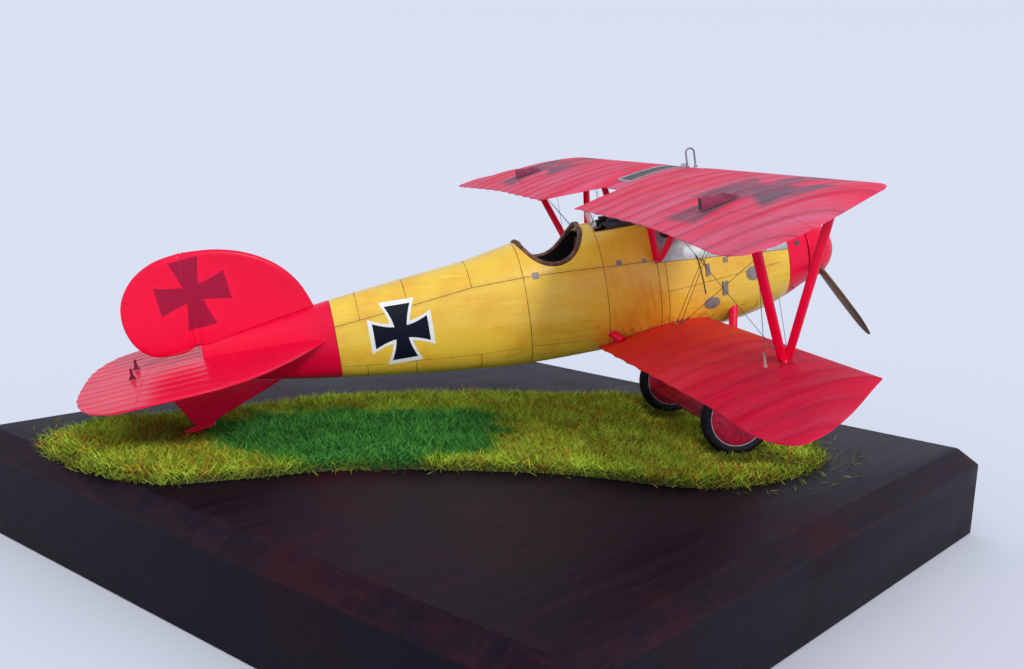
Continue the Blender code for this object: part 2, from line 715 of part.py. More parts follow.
def build_coaming(aircraft):
    side_points = coaming_route()
    lift = COAMING_RADIUS + SEAM
    rear_y, front_y = side_points[0][1], side_points[-1][1]
    route = []
    for x, y, z in side_points:
        inward = Vector((62.8 - y, 16.5 - z)).normalized() * lift
        route.append((x - 0.45, y + inward.x, z + inward.y))
    across_rear = [(route[0][0] * f, rear_y - lift + 0.55 * (1 - f), body_size(rear_y)[0] + 0.1 - 0.55 * f * f)
                   for f in (0.72, 0.38, 0.0)]
    across_front = [(route[-1][0] * f, front_y + lift - 0.55 * (1 - f), body_size(front_y)[0] + 0.3 - 0.55 * f * f)
                    for f in (0.72, 0.38, 0.0)]
    half = list(reversed(across_rear)) + route + across_front
    loop = half + [(-x, y, z) for x, y, z in reversed(half[1:-1])]
    curve = bpy.data.curves.new("cockpit_coaming", "CURVE")
    curve.dimensions = "3D"
    curve.bevel_depth = COAMING_RADIUS * MM
    curve.bevel_resolution = 2
    spline = curve.splines.new("POLY")
    spline.use_cyclic_u = True
    spline.points.add(len(loop) - 1)
    for point, where in zip(spline.points, loop):
        point.co = (*(Vector(where) * MM), 1.0)
    item = bpy.data.objects.new("cockpit_coaming", curve)
    PARTS.objects.link(item)
    graph = bpy.context.evaluated_depsgraph_get()
    mesh = bpy.data.meshes.new_from_object(item.evaluated_get(graph))
    bpy.data.objects.remove(item, do_unlink=True)
    ring = bpy.data.objects.new("cockpit_coaming", mesh)
    PARTS.objects.link(ring)
    shell = body_loft("shell", COCKPIT_FRONT - 9.0, CAVITY_REAR, SEAM * 0.5)
    cut(shell, body_loft("inner", COCKPIT_FRONT - 10.0, CAVITY_REAR + 1.0, -BODY_WALL - 0.5 * SEAM))
    cut(shell, prism("scoop", scoop_inset(SEAM), -20.0, 20.0))
    cut(ring, shell)
    return place(ring, paint("padded_leather", BROWN, 0.7), aircraft)


def scoop_inset(gap):
    """The scoop's outline drawn in by a gap, so that padding clears the edge."""
    centre = Vector((63.2, 14.0))
    return [tuple(centre + (Vector(p) - centre) * (1.0 - gap / (Vector(p) - centre).length)) for p in COCKPIT_SCOOP]


def build_cockpit_fittings(aircraft):
    floor_u = COCKPIT_FLOOR_U
    seat = box("seat", (-3.6, 64.2, floor_u + 3.2), (3.6, 70.2, floor_u + 4.4))
    join(seat, prism("seat_back", [(69.2, floor_u + 3.4), (70.6, floor_u + 3.4), (72.2, floor_u + 12.6),
                                   (71.2, floor_u + 12.8)], -3.4, 3.4))
    join(seat, box("seat_post", (-1.4, 66.0, floor_u + 0.7), (1.4, 68.2, floor_u + 3.6)))
    place(seat, paint("seat_leather", BROWN, 0.7), aircraft)

    floor = body_loft("cockpit_floor", CAVITY_FRONT + 0.3, CAVITY_REAR - 0.3, -BODY_WALL - SEAM)
    keep(floor, box("slab", (-20.0, 40.0, -30.0), (20.0, 80.0, floor_u + 0.5)))
    place(floor, paint("floor_wood", (0.25, 0.15, 0.07), 0.7), aircraft)

    panel = body_loft("instrument_panel", 55.0, 55.9, -BODY_WALL - SEAM)
    cut(panel, box("lower", (-20.0, 50.0, -30.0), (20.0, 60.0, 3.2)))
    cut(panel, box("upper", (-20.0, 50.0, DECK_HEIGHT - BODY_WALL - 0.4), (20.0, 60.0, 30.0)))
    place(panel, paint("panel_black", (0.02, 0.02, 0.02), 0.5), aircraft)

    stick = wire_mesh("control_column", [(0.0, 60.2, floor_u + 0.6), (0.0, 60.8, -2.0), (0.0, 61.4, 2.0)], 0.35, 2)
    join(stick, wire_mesh("grip", [(-1.3, 61.4, 2.6), (0.0, 61.4, 1.8), (1.3, 61.4, 2.6)], 0.32, 2))
    place(stick, paint("stick_steel", STEEL, 0.4, 0.8), aircraft)

    screen = prism("windscreen", [(52.9, DECK_HEIGHT + SEAM), (53.3, DECK_HEIGHT + SEAM), (54.1, 16.9), (53.7, 16.9)],
                   -2.0, 2.0)
    place(screen, paint("windscreen_clear", (0.7, 0.75, 0.75), 0.1), aircraft)


def build_tail_cone(aircraft):
    cone = body_loft("tail_cone", TAIL_BAND_START + 0.5 * SEAM, STERN_POST, step=2.6)
    return place(cone, paint("tail_red", RED, 0.35), aircraft)


# Wings and struts

def hinge_station(x):
    """The aileron's hinge line, which runs forward towards the tip."""
    (x0, y0), (x1, y1) = AILERON_HINGE
    return y0 + (y1 - y0) * (x - x0) / (x1 - x0)


def aileron_block(side, grow):
    """The space that an aileron fills: behind its hinge and outboard of its root."""
    root, tip = AILERON_ROOT - grow, UPPER_HALF_SPAN + 10.0
    plan = [(root, hinge_station(root) - grow), (tip, hinge_station(tip) - grow), (tip, 90.0), (root, 90.0)]
    return loft("aileron_block", [[(side * x, y, z) for x, y in plan] for z in (0.0, 40.0)])


def radiator_bed(grow):
    """The recess in the wing's top that holds the radiator panel, following the wing's curve."""
    front, rear = RADIATOR_ENDS
    middle = 0.5 * (RADIATOR_SIDES[0] + RADIATOR_SIDES[1])
    outline = []
    for y in (front - grow, front + 3.0, 0.5 * (front + rear), rear + grow):
        top = wing_surface(upper_edges, middle, y - UPPER_LEAD[0])[0]
        outline.append((y, top - RADIATOR_DEPTH - grow))
    outline += [(rear + grow, 40.0), (front - grow, 40.0)]
    return prism("radiator_bed", outline, RADIATOR_SIDES[0] - grow, RADIATOR_SIDES[1] + grow)


def build_upper_wing(aircraft):
    wing = upper_wing_solid("upper_wing")
    for side in (-1, 1):
        cut(wing, aileron_block(side, SEAM))
    cut(wing, radiator_bed(SEAM))
    place(wing, paint("wing_red", RED, 0.4), aircraft)

    radiator = upper_wing_solid("radiator_panel")
    keep(radiator, radiator_bed(0.0))
    place(radiator, paint("radiator_grey", (0.22, 0.22, 0.22), 0.5, 0.4), aircraft)

    for side, word in ((-1, "right"), (1, "left")):
        aileron = upper_wing_solid("aileron_" + word)
        keep(aileron, aileron_block(side, 0.0))
        place(aileron, paint("aileron_red_" + word, RED, 0.4), aircraft)

        x = side * CRANK_X
        front, rear = CRANK_ENDS
        top = wing_surface(upper_edges, x, rear - UPPER_LEAD[0])[0]
        front_top = wing_surface(upper_edges, x, front - UPPER_LEAD[0])[0]
        fairing = prism("aileron_crank_" + word,
                        [(front, front_top - 0.3), (rear, top - 0.6), (rear, top + CRANK_HEIGHT),
                         (rear - 2.6, top + CRANK_HEIGHT), (front, front_top + 0.15)],
                        x - 0.6, x + 0.6)
        solid = upper_wing_solid("bed")
        solid.data.transform(Matrix.Translation((0.0, 0.0, SEAM * MM)))
        cut(fairing, solid)
        place(fairing, paint("crank_red_" + word, (0.3, 0.02, 0.05), 0.5), aircraft)


def build_lower_wing(aircraft, side, word):
    wing = lower_wing_solid("lower_wing_" + word, side)
    cut(wing, body_loft("body_bed", 20.0, 70.0, SEAM))
    return place(wing, paint("lower_wing_red_" + word, RED, 0.4), aircraft)


def build_interplane_strut(aircraft, side, word):
    foot_u = wing_surface(lower_edges, V_FOOT_X, V_FOOT_BEHIND)[0] + SEAM
    foot = (side * V_FOOT_X, LOWER_LEAD[0] + V_FOOT_BEHIND, foot_u)
    legs = []
    for behind, spread in zip(V_TOPS_BEHIND, (-0.5, 0.5)):
        top_u = wing_surface(upper_edges, V_TOP_X, behind)[1] - SEAM
        top = (side * V_TOP_X, UPPER_LEAD[0] + behind, top_u)
        start = (foot[0], foot[1] + spread, foot[2])
        legs.append(bar("v_strut_" + word, start, top, STRUT_CHORD, STRUT_THICKNESS))
    strut = join(legs[0], legs[1])
    return place(strut, paint("strut_red_" + word, RED, 0.35), aircraft)


def build_cabane(aircraft, side, word):
    fx, fy, fz = CABANE_FOOT
    legs = []
    for top_y, spread in zip(CABANE_TOPS, (-0.45, 0.45)):
        top_u = wing_surface(upper_edges, CABANE_TOP_X, top_y - UPPER_LEAD[0])[1] - SEAM
        start = (side * (fx + 0.75), fy + spread, fz - 0.8)
        legs.append(bar("cabane_strut_" + word, start, (side * CABANE_TOP_X, top_y, top_u), 1.5, 0.9))
    strut = join(legs[0], legs[1])
    foot = wire_mesh("foot", [(side * (fx - 1.2), fy, fz - 0.5), (side * (fx + 0.9), fy, fz - 0.5)], 0.7, 3)
    join(strut, foot)
    cut(strut, body_loft("body_bed", 30.0, 60.0, SEAM))
    return place(strut, paint("cabane_red_" + word, RED, 0.35), aircraft)


def build_wing_pipe(aircraft):
    """The water system's vent pipe: an upright loop on the wing beside the radiator."""
    x = WING_PIPE_X
    front, rear = WING_PIPE_LEGS
    feet = [wing_surface(upper_edges, x, y - UPPER_LEAD[0])[0] + 2.0 * SEAM for y in (front, rear)]
    top = feet[0] + WING_PIPE_HEIGHT
    radius = 0.5 * (rear - front)
    route = [(x, front, feet[0])]
    for i in range(7):
        angle = math.pi * i / 6
        route.append((x, front + radius * (1.0 - math.cos(angle)), top - radius * (1.0 - math.sin(angle))))
    route.append((x, rear, feet[1]))
    loop = wire("wing_pipe", route, 0.2)
    return place_curve(loop, paint("pipe_grey", (0.3, 0.3, 0.3), 0.4, 0.7), aircraft)


def place_curve(item, finish, parent):
    graph = bpy.context.evaluated_depsgraph_get()
    mesh = bpy.data.meshes.new_from_object(item.evaluated_get(graph))
    name = item.name
    bpy.data.objects.remove(item, do_unlink=True)
    shape = bmesh.new()
    shape.from_mesh(mesh)
    bmesh.ops.remove_doubles(shape, verts=shape.verts, dist=0.000005)
    bmesh.ops.recalc_face_normals(shape, faces=shape.faces)
    shape.to_mesh(mesh)
    shape.free()
    solid = bpy.data.objects.new(name, mesh)
    PARTS.objects.link(solid)
    return place(solid, finish, parent)


# Undercarriage

def build_gear(aircraft, side, word):
    foot = (side * GEAR_FOOT_X, AXLE_STATION, AXLE_U + 1.7)
    legs = []
    for (x, y, z), spread in zip(GEAR_TOPS, (-0.5, 0.8)):
        start = (foot[0], foot[1] + spread, foot[2])
        legs.append(bar("gear_leg_" + word, start, (side * x, y, z), 1.9, 1.25))
    strut = join(legs[0], legs[1])
    cut(strut, body_loft("body_bed", 15.0, 60.0, SEAM))
    return place(strut, paint("gear_red_" + word, RED, 0.35), aircraft)


def build_axle(aircraft):
    fairing_half = GEAR_FOOT_X + 1.3
    rings = []
    for x in (-fairing_half, fairing_half):
        points = section((AXLE_STATION - 3.6, AXLE_U), (AXLE_STATION + 6.4, AXLE_U), 0.3, 0.0, 0.3)
        rings.append([(x, y, z) for y, z in points])
    fairing = loft("axle_fairing", rings)
    end = WHEEL_X + 0.5 * TYRE_WIDTH + 0.35
    axle = turned("axle", [(-end, AXLE_RADIUS), (end, AXLE_RADIUS)], "X", 16)
    axle.data.transform(Matrix.Translation(Vector((0.0, AXLE_STATION, AXLE_U)) * MM))
    join(fairing, axle)
    for side in (-1, 1):
        foot = box("leg_foot", (side * GEAR_FOOT_X - 0.7, AXLE_STATION - 1.7, AXLE_U),
                   (side * GEAR_FOOT_X + 0.7, AXLE_STATION + 1.9, AXLE_U + 1.7 - SEAM))
        join(fairing, foot)
    return place(fairing, paint("axle_red", RED, 0.4), aircraft)


def build_wheel(aircraft, side, word):
    axis = bpy.data.objects.new("wheel_axis_" + word, None)
    PARTS.objects.link(axis)
    axis.parent = aircraft
    axis.location = Vector((side * WHEEL_X, AXLE_STATION, AXLE_U)) * MM

    half = 0.5 * TYRE_WIDTH
    rounds = []
    for i in range(8):
        angle = math.pi * (i / 7.0)
        rounds.append((-half * math.cos(angle), TYRE_RADIUS - 1.15 + 1.15 * math.sin(angle)))
    profile = [(-0.62 * half, RIM_RADIUS)] + rounds + [(0.62 * half, RIM_RADIUS)]
    tyre = ring_solid("tyre_" + word, profile, 32)
    place(tyre, paint("tyre_rubber_" + word, (0.02, 0.02, 0.022), 0.75), axis)

    bore = AXLE_RADIUS + 0.1
    face = [(-0.62 * half, RIM_RADIUS - SEAM), (-half * 0.95, 4.2), (-half - 0.15, 1.2), (-half - 0.15, bore)]
    other = [(-x, r) for x, r in reversed(face)]
    disc = ring_solid("wheel_disc_" + word, face + other, 28)
    place(disc, paint("disc_red_" + word, RED, 0.45), axis)
    return axis


def ring_solid(name, profile, steps):
    """A ring turned about X from a closed profile of (along, radius) points."""
    points, faces = [], []
    count = len(profile)
    for i in range(steps):
        angle = 2.0 * math.pi * i / steps
        points += [(x, r * math.cos(angle), r * math.sin(angle)) for x, r in profile]
    for i in range(steps):
        for k in range(count):
            a, b = i * count, ((i + 1) % steps) * count
            faces.append((a + k, a + (k + 1) % count, b + (k + 1) % count, b + k))
    return new_mesh(name, points, faces)


# Tail

def slab(name, outline, thickness):
    """A flat control surface standing on the centreline, thinner at its rim."""
    centre = (sum(p[0] for p in outline) / len(outline), sum(p[1] for p in outline) / len(outline))
    inner = [(y + (centre[0] - y) * 0.12, z + (centre[1] - z) * 0.12) for y, z in outline]
    rings = []
    for x, row in ((-0.5, inner), (-0.22, outline), (0.22, outline), (0.5, inner)):
        rings.append([(x * thickness, y, z) for y, z in row])
    return loft(name, rings)


def build_fin_and_rudder(aircraft):
    outline = list(FIN_AND_RUDDER)
    fin = slab("fin", outline[:6] + [(135.5, 3.5), (133.0, 0.6), (112.2, 4.0)], 1.5)
    keep(fin, box("front_half", (-5.0, 100.0, -5.0), (5.0, RUDDER_HINGE - SEAM, 40.0)))
    cut(fin, body_loft("body_bed", 109.5, STERN_POST + SEAM, SEAM, 2.6))
    place(fin, paint("fin_red", RED, 0.35), aircraft)

    rudder = slab("rudder", [(RUDDER_HINGE + SEAM, outline[5][1])] + outline[6:-1] + [(RUDDER_HINGE + SEAM, 3.4)], 1.4)
    place(rudder, paint("rudder_red", RED, 0.35), aircraft)


def tail_height(y):
    return TAILPLANE_LEAD_U + TAILPLANE_SLOPE * (y - TAILPLANE_ROOT)


def tail_edges(x):
    """Leading and trailing points of the tailplane with its elevator."""
    lead, trail = along(TAIL_LEADING, x), along(TAIL_TRAILING, x)
    return (lead, tail_height(lead)), (trail, tail_height(trail))


def tail_solid(name, inner):
    outer = [inner] + list(TAIL_STATIONS)
    stations = [-x for x in reversed(outer)] + outer
    rings = []
    for x in stations:
        lead, trail = tail_edges(abs(x))
        rings.append([(x, y, z) for y, z in section(lead, trail, 0.045, 0.0, 0.3)])
    return loft(name, rings)


def build_elevator(aircraft):
    elevator = tail_solid("elevator", 0.5)
    keep(elevator, box("rear_half", (-60.0, ELEVATOR_HINGE + SEAM, -10.0), (60.0, 170.0, 10.0)))
    return place(elevator, paint("elevator_red", RED, 0.4), aircraft)


def build_tailplane(aircraft):
    """Tailplane: one piece, bridged behind the stern post."""
    plane = tail_solid("tailplane", 0.7)
    keep(plane, box("front_half", (-60.0, 100.0, -10.0), (60.0, ELEVATOR_HINGE - SEAM, 10.0)))
    cut(plane, body_loft("body_bed", 109.5, STERN_POST + SEAM, SEAM, 2.6))
    return place(plane, paint("tailplane_red", RED, 0.4), aircraft)


def build_ventral_fin_and_skid(aircraft):
    outline = [(119.8, -6.0), (126.5, -8.6), (137.6, -12.6), (139.8, -11.0), (142.6, -6.6), (144.4, -1.4),
               (135.0, -1.4), (120.0, -4.0)]
    fin = prism("ventral_fin", outline, -0.6, 0.6)
    cut(fin, body_loft("body_bed", 109.5, STERN_POST + 0.1, SEAM, 2.6))
    bed = tail_solid("tail_bed", 0.5)
    bed.data.transform(Matrix.Translation((0.0, 0.0, -SEAM * MM)))
    cut(fin, bed)
    place(fin, paint("ventral_red", RED, 0.4), aircraft)

    tip_y, tip_u = SKID_TIP
    skid = bar("tail_skid", (0.0, tip_y - 5.0, tip_u + 0.45), (0.0, tip_y + 0.4, tip_u), 0.8, 1.5, 10, False)
    return place(skid, paint("skid_red", RED, 0.5), aircraft)


def build_horns(aircraft):
    foot = tail_height(148.0) + 0.5 * 0.045 * 46.0
    for side, word in ((-1, "right"), (1, "left")):
        x = side * HORN_X
        horn = prism("elevator_horn_" + word,
                     [(147.6, foot - 1.6), (149.4, foot - 1.6), (148.8, foot + 2.2), (148.2, foot + 2.2)],
                     x - 0.25, x + 0.25)
        bed = tail_solid("tail_bed", 0.5)
        bed.data.transform(Matrix.Translation((0.0, 0.0, SEAM * MM)))
        cut(horn, bed)
        low_part = box("low_part", (-20.0, 140.0, -20.0), (20.0, 160.0, foot - 0.9))
        cut(horn, low_part)
        place(horn, paint("horn_red_" + word, (0.3, 0.02, 0.05), 0.5), aircraft)


def build_wing_stub(aircraft, side, word):
    """The short spar fairing between the body and the lower wing's trailing edge."""
    stub = wire_mesh("wing_stub_" + word, [(side * 5.0, 55.2, -8.0), (side * 9.4, 52.6, -10.0)], 0.85, 3)
    cut(stub, body_loft("body_bed", 30.0, 70.0, SEAM))
    bed = lower_wing_solid("wing_bed", side)
    bed.data.transform(Matrix.Translation((0.0, 0.0, SEAM * MM)))
    cut(stub, bed)
    return place(stub, paint("stub_red_" + word, RED, 0.4), aircraft)


def build_aircraft():
    aircraft = bpy.data.objects.new("aircraft_frame", None)
    PARTS.objects.link(aircraft)
    aircraft.location = Vector((AIRCRAFT_X, SPINNER_TIP_Y, THRUST_LINE_Z)) * MM
    aircraft.rotation_euler = (-NOSE_UP, 0.0, 0.0)
    bpy.context.view_layer.update()
    build_grass_mat(aircraft)
    build_spinner_and_propeller(aircraft)
    build_nose(aircraft)
    build_fuselage(aircraft)
    build_upper_cowl(aircraft)
    build_engine(aircraft)
    build_exhaust(aircraft)
    build_gun(aircraft, -1, "gun_right")
    build_gun(aircraft, 1, "gun_left")
    build_coaming(aircraft)
    build_cockpit_fittings(aircraft)
    build_tail_cone(aircraft)
    build_upper_wing(aircraft)
    build_wing_pipe(aircraft)
    build_axle(aircraft)
    build_fin_and_rudder(aircraft)
    build_tailplane(aircraft)
    build_elevator(aircraft)
    build_ventral_fin_and_skid(aircraft)
    build_horns(aircraft)
    for side, word in ((-1, "right"), (1, "left")):
        build_lower_wing(aircraft, side, word)
        build_interplane_strut(aircraft, side, word)
        build_cabane(aircraft, side, word)
        build_gear(aircraft, side, word)
        build_wheel(aircraft, side, word)
        build_wing_stub(aircraft, side, word)
    return aircraft


def main():
    clear_scene()
    build_plinth()
    build_aircraft()


main()
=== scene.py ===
"""Looks of the display model: a V-strutted fighter biplane on a square wooden plinth.

Pieces are drawn in the aircraft's own frame, in millimetres: x to port, a aft from the
spinner's tip along the thrust line, u up from that line. AIR carries them onto the plinth.
"""

import math
import random

import bmesh
import bpy
from mathutils import Matrix, Vector, noise


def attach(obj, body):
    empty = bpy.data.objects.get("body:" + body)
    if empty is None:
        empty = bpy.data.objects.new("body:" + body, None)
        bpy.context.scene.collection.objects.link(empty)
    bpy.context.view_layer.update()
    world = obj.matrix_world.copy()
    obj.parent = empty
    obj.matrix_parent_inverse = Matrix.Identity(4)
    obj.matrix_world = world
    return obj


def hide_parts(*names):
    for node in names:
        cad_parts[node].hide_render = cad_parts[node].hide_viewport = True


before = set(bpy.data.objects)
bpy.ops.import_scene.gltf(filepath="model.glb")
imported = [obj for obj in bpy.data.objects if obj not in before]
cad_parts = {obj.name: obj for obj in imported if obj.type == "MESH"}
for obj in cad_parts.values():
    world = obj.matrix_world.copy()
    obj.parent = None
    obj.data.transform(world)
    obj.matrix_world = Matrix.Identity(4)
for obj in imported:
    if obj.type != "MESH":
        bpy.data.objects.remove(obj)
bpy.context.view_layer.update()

MM = 0.001
NOSE_UP = math.radians(11.17)
ORIGIN = Vector((1.15, -74.0, 61.7))
AIR = Matrix.Translation(ORIGIN * MM) @ Matrix.Rotation(-NOSE_UP, 4, "X") @ Matrix.Scale(MM, 4)
STAND = Matrix.Scale(MM, 4)
SIDES = ((-1, "right"), (1, "left"))

# Stand
PLINTH_SIDE, PLINTH_THICKNESS, PLINTH_CHAMFER = 151.0, 19.4, 3.5
PLINTH_TURN = math.radians(36.3)
MAT_TOP = 20.4

# Nose and propeller
SPINNER_RADIUS, SPINNER_BACK = 7.19, 8.3
PROPELLER_STATION, PROPELLER_RADIUS = 5.9, 28.8
PROPELLER_TURN, PROPELLER_PITCH, SHAFT_RADIUS = math.radians(59.0), 14.0, 1.2
NOSE_BAND_END = 13.8

# Body: distance aft, top, bottom, half width
BODY_STATIONS = (
    (8.7, 7.2, -7.3, 7.2), (13.8, 8.7, -9.4, 8.6), (20.0, 9.9, -11.3, 9.0), (27.2, 11.2, -12.4, 9.2),
    (40.5, 12.6, -13.0, 9.3), (53.3, 13.8, -13.1, 9.2), (70.3, 12.4, -12.9, 8.6), (81.5, 10.5, -12.0, 7.8),
    (97.7, 8.8, -10.0, 6.4), (109.4, 7.5, -8.3, 5.2), (120.0, 5.9, -6.6, 3.7), (135.3, 3.2, -3.8, 0.9),
)
BODY_SQUARENESS = 2.3
BODY_WALL = 0.9
TAIL_BAND_START, STERN_POST = 109.4, 135.2
FRAME_LINES = {43.15: "all", 54.4: "all", 71.0: "all", 81.5: "outer", 94.6: "all", 104.3: "outer"}
LOW_SEAM = ((54.9, -9.7), (71.0, -8.1), (81.8, -7.9), (103.7, -6.1), (109.4, -5.4))
SIDE_SEAM = ((13.8, 2.2), (27.9, 3.6), (44.1, 5.0), (54.3, 5.5), (61.4, 5.9), (70.8, 6.2), (81.4, 5.9), (95.0, 4.3), (109.4, 2.8))
CAVITY_FRONT, CAVITY_REAR = 44.5, 77.0
COCKPIT_SCOOP = (
    (71.4, 18.0), (70.6, 13.2), (69.6, 10.9), (67.9, 8.9), (65.6, 7.6), (63.2, 7.3),
    (60.9, 7.9), (58.9, 9.4), (57.3, 11.6), (56.2, 14.0), (55.6, 18.0),
)

# Upper cowl and gun deck
COWL_REAR, COWL_EDGE = 42.9, ((11.8, 2.1), (42.9, 4.5))
DECK_HEIGHT, DECK_REAR, GUN_OFFSET = 12.2, 54.2, 3.0
CYLINDER_FIRST, CYLINDER_PITCH, CYLINDER_COUNT, CYLINDER_RADIUS = 19.6, 3.55, 6, 1.25

# Wings
UPPER_LEAD, UPPER_CHORD, UPPER_TRAIL_U = (29.0, 21.2), 31.25, 18.7
UPPER_HALF_SPAN, UPPER_TIP_X = 94.15, 74.5
CUT_OUT_HALF, CUT_OUT_DEPTH = 13.4, 13.0
AILERON_ROOT, AILERON_HINGE = 46.0, ((46.0, 55.4), (94.0, 49.4))
RADIATOR_SIDES, RADIATOR_ENDS, RADIATOR_DEPTH = (0.8, 8.4), (31.2, 43.6), 0.7
WING_PIPE_X, WING_PIPE_LEGS, WING_PIPE_HEIGHT = -4.4, (30.7, 32.5), 4.0
CRANK_X, CRANK_ENDS, CRANK_HEIGHT = 60.5, (46.8, 53.4), 2.2
LOWER_LEAD, LOWER_CHORD, LOWER_TRAIL_U = (32.2, -9.7), 24.6, -11.4
LOWER_HALF_SPAN, LOWER_TIP_X = 90.7, 74.0
LOWER_DIHEDRAL = math.radians(1.36)
WING_CAMBER, WING_THICKNESS, LOWER_THICKNESS = 0.042, 0.055, 0.060
RIB_PITCH = 7.1

# Struts and undercarriage
V_TOP_X, V_FOOT_X, V_FOOT_BEHIND, V_TOPS_BEHIND = 66.3, 55.9, 7.3, (4.0, 19.3)
STRUT_CHORD, STRUT_THICKNESS = 1.75, 1.05
CABANE_FOOT, CABANE_TOP_X, CABANE_TOPS = (9.0, 43.0, 5.2), 13.0, (33.0, 45.6)
WHEEL_X, AXLE_A, AXLE_U, TYRE_RADIUS, TYRE_WIDTH, RIM_RADIUS = 18.24, 33.24, -28.26, 7.95, 2.3, 5.95
GEAR_FOOT_X = 14.2
GEAR_TOPS = ((6.9, 26.4, -6.4), (4.6, 39.6, -11.2))

# Tail
RUDDER_HINGE, ELEVATOR_HINGE = 135.5, 146.2
FIN_AND_RUDDER = (
    (112.2, 6.6), (114.4, 12.1), (118.0, 16.4), (123.2, 19.6), (129.2, 21.3), (135.5, 21.7),
    (141.0, 20.7), (145.4, 18.1), (148.1, 14.2), (148.7, 9.9), (147.5, 5.7), (144.8, 2.9),
    (141.4, 2.2), (138.2, 2.3), (135.5, 3.4),
)
TAIL_LEAD_U, TAIL_SLOPE, TAIL_ROOT = 0.3, -0.0235, 110.0
TAIL_LEADING = ((0.0, 110.0), (4.0, 111.3), (7.8, 113.3), (12.3, 116.0), (15.9, 118.4), (21.7, 123.2), (24.9, 127.0),
                (26.6, 130.6), (27.4, 134.5), (28.0, 140.3), (28.5, 146.9), (28.55, 148.5))
TAIL_TRAILING = ((0.0, 158.4), (6.0, 158.3), (12.0, 158.0), (16.5, 157.2), (21.0, 155.9), (24.4, 154.2),
                 (26.8, 152.3), (28.0, 150.5), (28.55, 148.9))
HORN_X = 4.6
SEAM = 0.1


# Materials

class Wire:
    """One output socket. Operators on it add Math nodes."""

    def __init__(self, finish, socket):
        self.finish, self.socket = finish, socket

    def math(self, operation, *values):
        return self.finish.node("ShaderNodeMath", {"operation": operation}, *values)

    def __add__(self, other): return self.math("ADD", self, other)
    def __radd__(self, other): return self.math("ADD", other, self)
    def __sub__(self, other): return self.math("SUBTRACT", self, other)
    def __rsub__(self, other): return self.math("SUBTRACT", other, self)
    def __mul__(self, other): return self.math("MULTIPLY", self, other)
    def __rmul__(self, other): return self.math("MULTIPLY", other, self)
    def __truediv__(self, other): return self.math("DIVIDE", self, other)
    def __rtruediv__(self, other): return self.math("DIVIDE", other, self)
    def __pow__(self, other): return self.math("POWER", self, other)
    def __neg__(self): return self.math("MULTIPLY", self, -1.0)
    def __abs__(self): return self.math("ABSOLUTE", self)
    def __lt__(self, other): return self.math("LESS_THAN", self, other)
    def __gt__(self, other): return self.math("GREATER_THAN", self, other)

    def least(self, other): return self.math("MINIMUM", self, other)
    def most(self, other): return self.math("MAXIMUM", self, other)
    def sine(self): return self.math("SINE", self)
    def cosine(self): return self.math("COSINE", self)
    def floor(self): return self.math("FLOOR", self)
    def fraction(self): return self.math("FRACT", self)

    def ramp(self, low, high, start=0.0, end=1.0):
        """Goes smoothly from start to end as the value goes from low to high."""
        settings = {"interpolation_type": "SMOOTHSTEP"}
        return self.finish.node("ShaderNodeMapRange", settings, self, low, high, start, end)

    def line(self, middle, half):
        """1 on a thin line where the value equals middle, falling to 0 at half a width away."""
        return abs(self - middle).ramp(0.4 * half, half, 1.0, 0.0)


